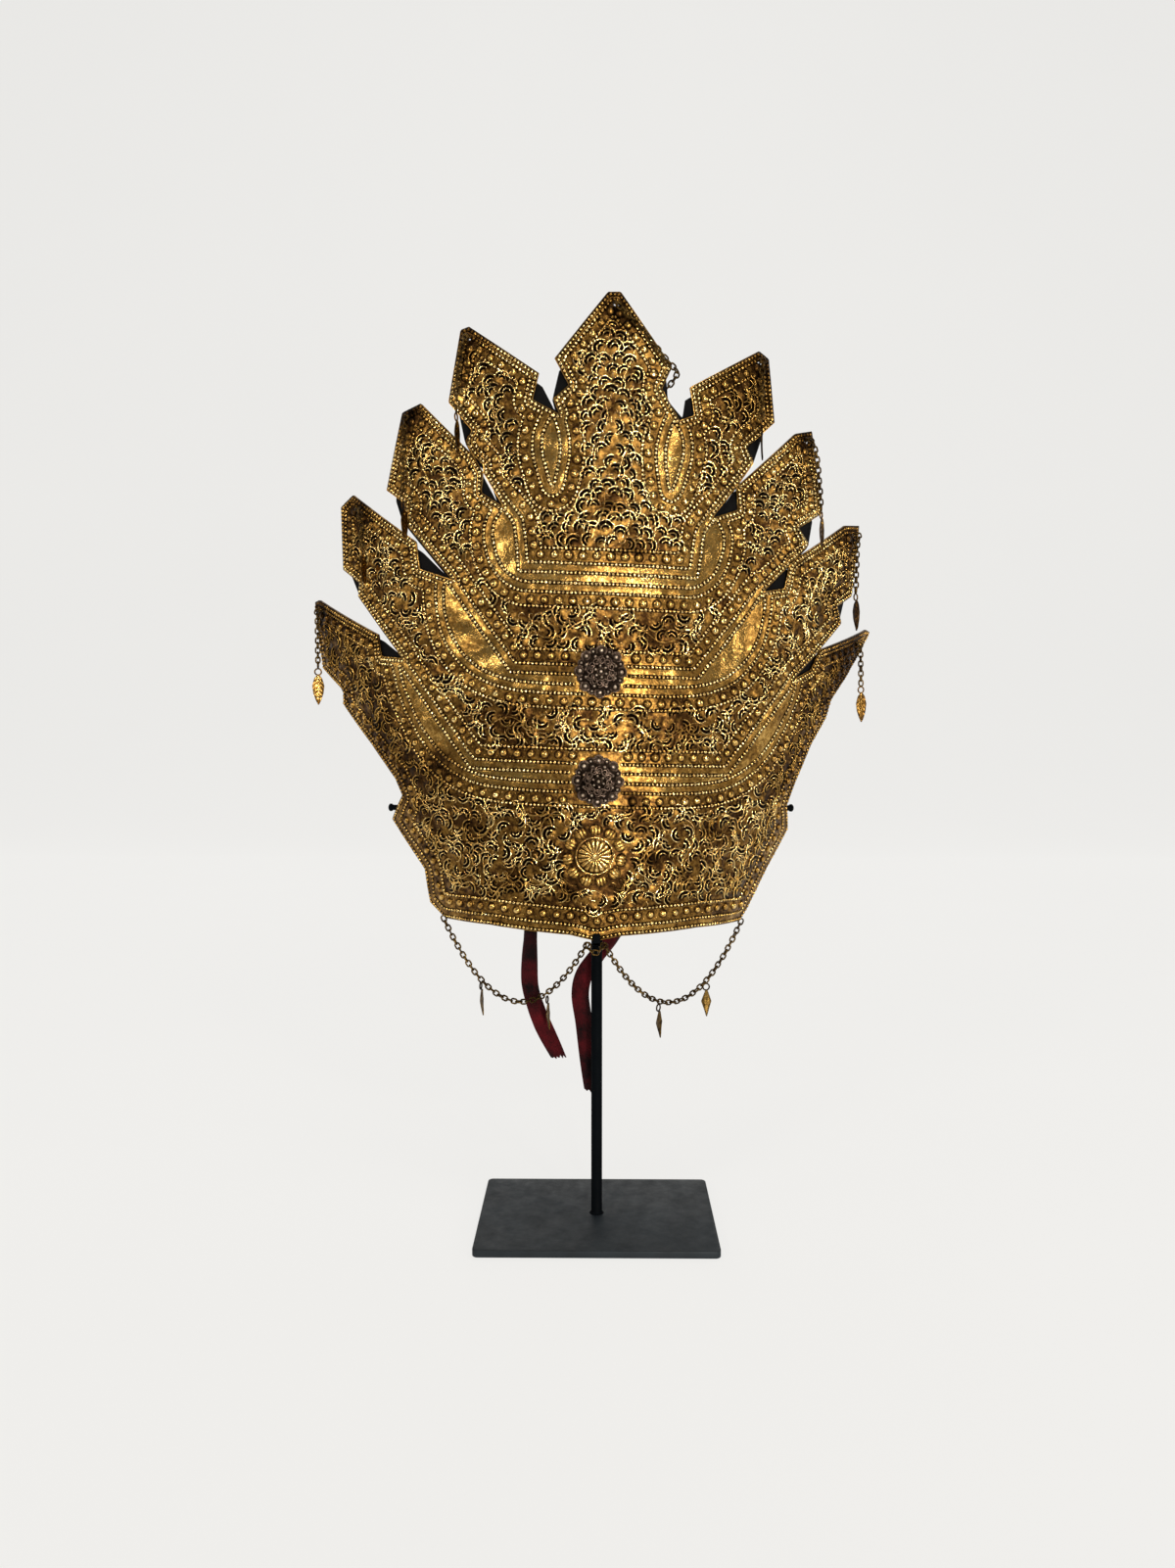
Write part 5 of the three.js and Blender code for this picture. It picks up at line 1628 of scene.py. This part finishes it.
def metal(name, colours, shine, stain):
    """Worn and painted metal: dark where its tone is low, from painted shade and wear, bare with painted
    highlight where it is high, with stains and small dents
    """
    paint = Paint(name, Metallic=1.0)
    cloud = paint.spread(paint.noise(*CLOUDS), *MOST, -stain, stain * STAIN_BRIGHT)
    speck = paint.spread(paint.noise(*SPECKS), *MOST, *SPECK_CHANGE)
    shaded_and_worn = paint.maths("ADD", paint.maths("ADD", paint.tone(), cloud), speck)
    paint.set("Base Color", paint.ramp(shaded_and_worn, colours))
    paint.set("Roughness", paint.spread(shaded_and_worn, 0.0, 1.0, *shine))
    uneven = paint.noise(*SHALLOW_DENTS)
    for scale, detail, weight in OTHER_DENTS:
        uneven = paint.maths("ADD", uneven, paint.maths("MULTIPLY", paint.noise(scale, detail), weight))
    paint.bump(uneven, *METAL_BUMP)
    return paint.material


def cloth_material(name, colours, weave, sheen, tint, toned):
    paint = Paint(name, Sheen_Weight=sheen, Sheen_Tint=(*tint, 1), **CLOTH)
    shade = paint.spread(paint.noise(*CLOTH_SHADE), *CLOTH_MOST, 0.0, 1.0)
    nap = paint.noise(*CLOTH_NAP)
    shade, fine = paint.maths("MULTIPLY", shade, SHADE_WEIGHT), paint.maths("MULTIPLY", nap, NAP_WEIGHT)
    mixed = paint.maths("ADD", shade, fine)
    if toned:
        mixed = paint.maths("MULTIPLY", mixed, paint.tone())
    paint.set("Base Color", paint.ramp(mixed, colours))
    place = paint.add("ShaderNodeTexCoord")["Object"]
    settings = {"Vector": place, "Scale": weave, "Distortion": WEAVE_WANDER}
    waves = [paint.add("ShaderNodeTexWave", {"bands_direction": axis}, **settings)[1] for axis in ("X", "Z")]
    paint.bump(paint.maths("ADD", paint.maths("ADD", *waves), nap), *CLOTH_BUMP)
    return paint.material


def stand_material(name, colours, shine, glint):
    paint = Paint(name, Specular_IOR_Level=glint)
    paint.set("Base Color", paint.ramp(paint.noise(*PAINT_CLOUDS), colours))
    paint.set("Roughness", paint.spread(paint.noise(*PAINT_SHINE), *MOST, *shine))
    paint.bump(paint.noise(*PAINT_GRAIN), *PAINT_BUMP)
    return paint.material


def stage_material():
    paint = Paint("studio_paper", Roughness=PAPER_ROUGH, Emission_Color=PAPER_GLOW)
    paint.shader.inputs["Emission Strength"].default_value = PAPER_STRENGTH
    paint.set("Base Color", paint.ramp(paint.noise(*PAPER_CLOUDS), PAPER))
    return paint.material


# Studio, in metres

FLOOR_FRONT = -0.36
FLOOR_BACK = 1.6
BACKDROP_BEND = 0.9
BACKDROP_STEPS = 24
BACKDROP_TOP = 4.0
BACKDROP_HALF = 4.0
AIM = (0.0, 0.0, 0.32)
WARM = (1.0, 0.95, 0.88)
# Lights: name, place, size, power, colour, aim
LIGHTS = [
    ("key", (0.5, -1.1, 1.05), 0.14, 3.8, WARM, AIM),
    ("fill", (-1.0, -1.1, 0.75), 0.3, 5.2, (1.0, 0.96, 0.91), AIM),
    ("side", (1.25, -0.4, 0.48), 0.25, 3, WARM, AIM),
    ("left", (-1.25, -0.4, 0.5), 0.25, 1.5, WARM, AIM),
    ("front", (0.2, -1.25, 0.42), 0.12, 3.3, WARM, AIM),
    ("low", (0.4, -1.2, 0.06), 0.16, 8.5, WARM, AIM),
    ("top", (0.1, -0.35, 1.6), 0.3, 3.5, (1.0, 0.98, 0.95), AIM),
    ("wash", (0.0, 0.9, 2.1), 1.8, 9, (1.0, 1.0, 1.0), (0, 2.4, 0.6)),
]
ROOM_COLOUR = (1.0, 0.985, 0.96, 1)
ROOM_STRENGTH = 0.15
CLIP_START = 0.01


def make_studio():
    """Floor and backdrop in one bent sheet of paper"""
    profile = [(FLOOR_FRONT, 0.0), (FLOOR_BACK, 0.0)]
    for t in np.radians(np.linspace(0, 90, BACKDROP_STEPS)):
        profile.append((FLOOR_BACK + BACKDROP_BEND * math.sin(t), BACKDROP_BEND * (1 - math.cos(t))))
    profile.append((FLOOR_BACK + BACKDROP_BEND, BACKDROP_TOP))
    points = [(x, y, z) for y, z in profile for x in (-BACKDROP_HALF, BACKDROP_HALF)]
    faces = [(2 * k, 2 * k + 1, 2 * k + 3, 2 * k + 2) for k in range(len(profile) - 1)]
    mesh = bpy.data.meshes.new("studio")
    mesh.from_pydata(points, [], faces)
    for polygon in mesh.polygons:
        polygon.use_smooth = True
    studio = bpy.data.objects.new("studio", mesh)
    bpy.context.scene.collection.objects.link(studio)
    mesh.materials.append(stage_material())


def make_lights():
    for name, place, size, power, colour, aim in LIGHTS:
        light = bpy.data.lights.new(name, "AREA")
        light.size = size
        light.energy = power
        light.color = colour
        lamp = bpy.data.objects.new(name, light)
        lamp.location = place
        lamp.rotation_euler = (Vector(aim) - lamp.location).to_track_quat("-Z", "Y").to_euler()
        bpy.context.scene.collection.objects.link(lamp)
    world = bpy.data.worlds.new("room")
    world.use_nodes = True
    background = world.node_tree.nodes["Background"].inputs
    background["Color"].default_value = ROOM_COLOUR
    background["Strength"].default_value = ROOM_STRENGTH
    bpy.context.scene.world = world


def make_camera():
    data = bpy.data.cameras.new("camera")
    data.sensor_width = SENSOR
    data.lens = FOCAL_PIXELS / PICTURE_HIGH * SENSOR
    data.clip_start = CLIP_START
    camera = bpy.data.objects.new("camera", data)
    pitch, pan = math.radians(CAMERA_PITCH), math.radians(CAMERA_PAN)
    forward = Vector((-math.sin(pan) * math.cos(pitch), math.cos(pan) * math.cos(pitch), -math.sin(pitch)))
    camera.location = Vector(CAMERA_PLACE) * MM
    camera.rotation_euler = forward.to_track_quat("-Z", "Y").to_euler()
    bpy.context.scene.collection.objects.link(camera)
    bpy.context.scene.camera = camera


gilt, filigree, grain_metal, brass = (metal(name, *row) for name, row in METALS.items())
backing_in_shade, velvet = (cloth_material(name, *row) for name, row in CLOTHS.items())
make_camera()
make_studio()
make_lights()
for make_relief in (make_plate, make_beads, make_bosses, make_foliage, make_flower):
    make_relief(gilt)
make_backing(backing_in_shade)
for rosette_name, rosette_place in ROSETTES.items():
    make_rosette(rosette_name, *rosette_place, filigree, grain_metal)
make_tip_chains(brass, gilt)
make_swags(brass)
for tie_name, tie_lines in TIES.items():
    make_tie(tie_name, *tie_lines, velvet)
make_stand(*(stand_material(name, *row) for name, row in PAINTS.items()))
bpy.context.scene.view_settings.view_transform = "Standard"
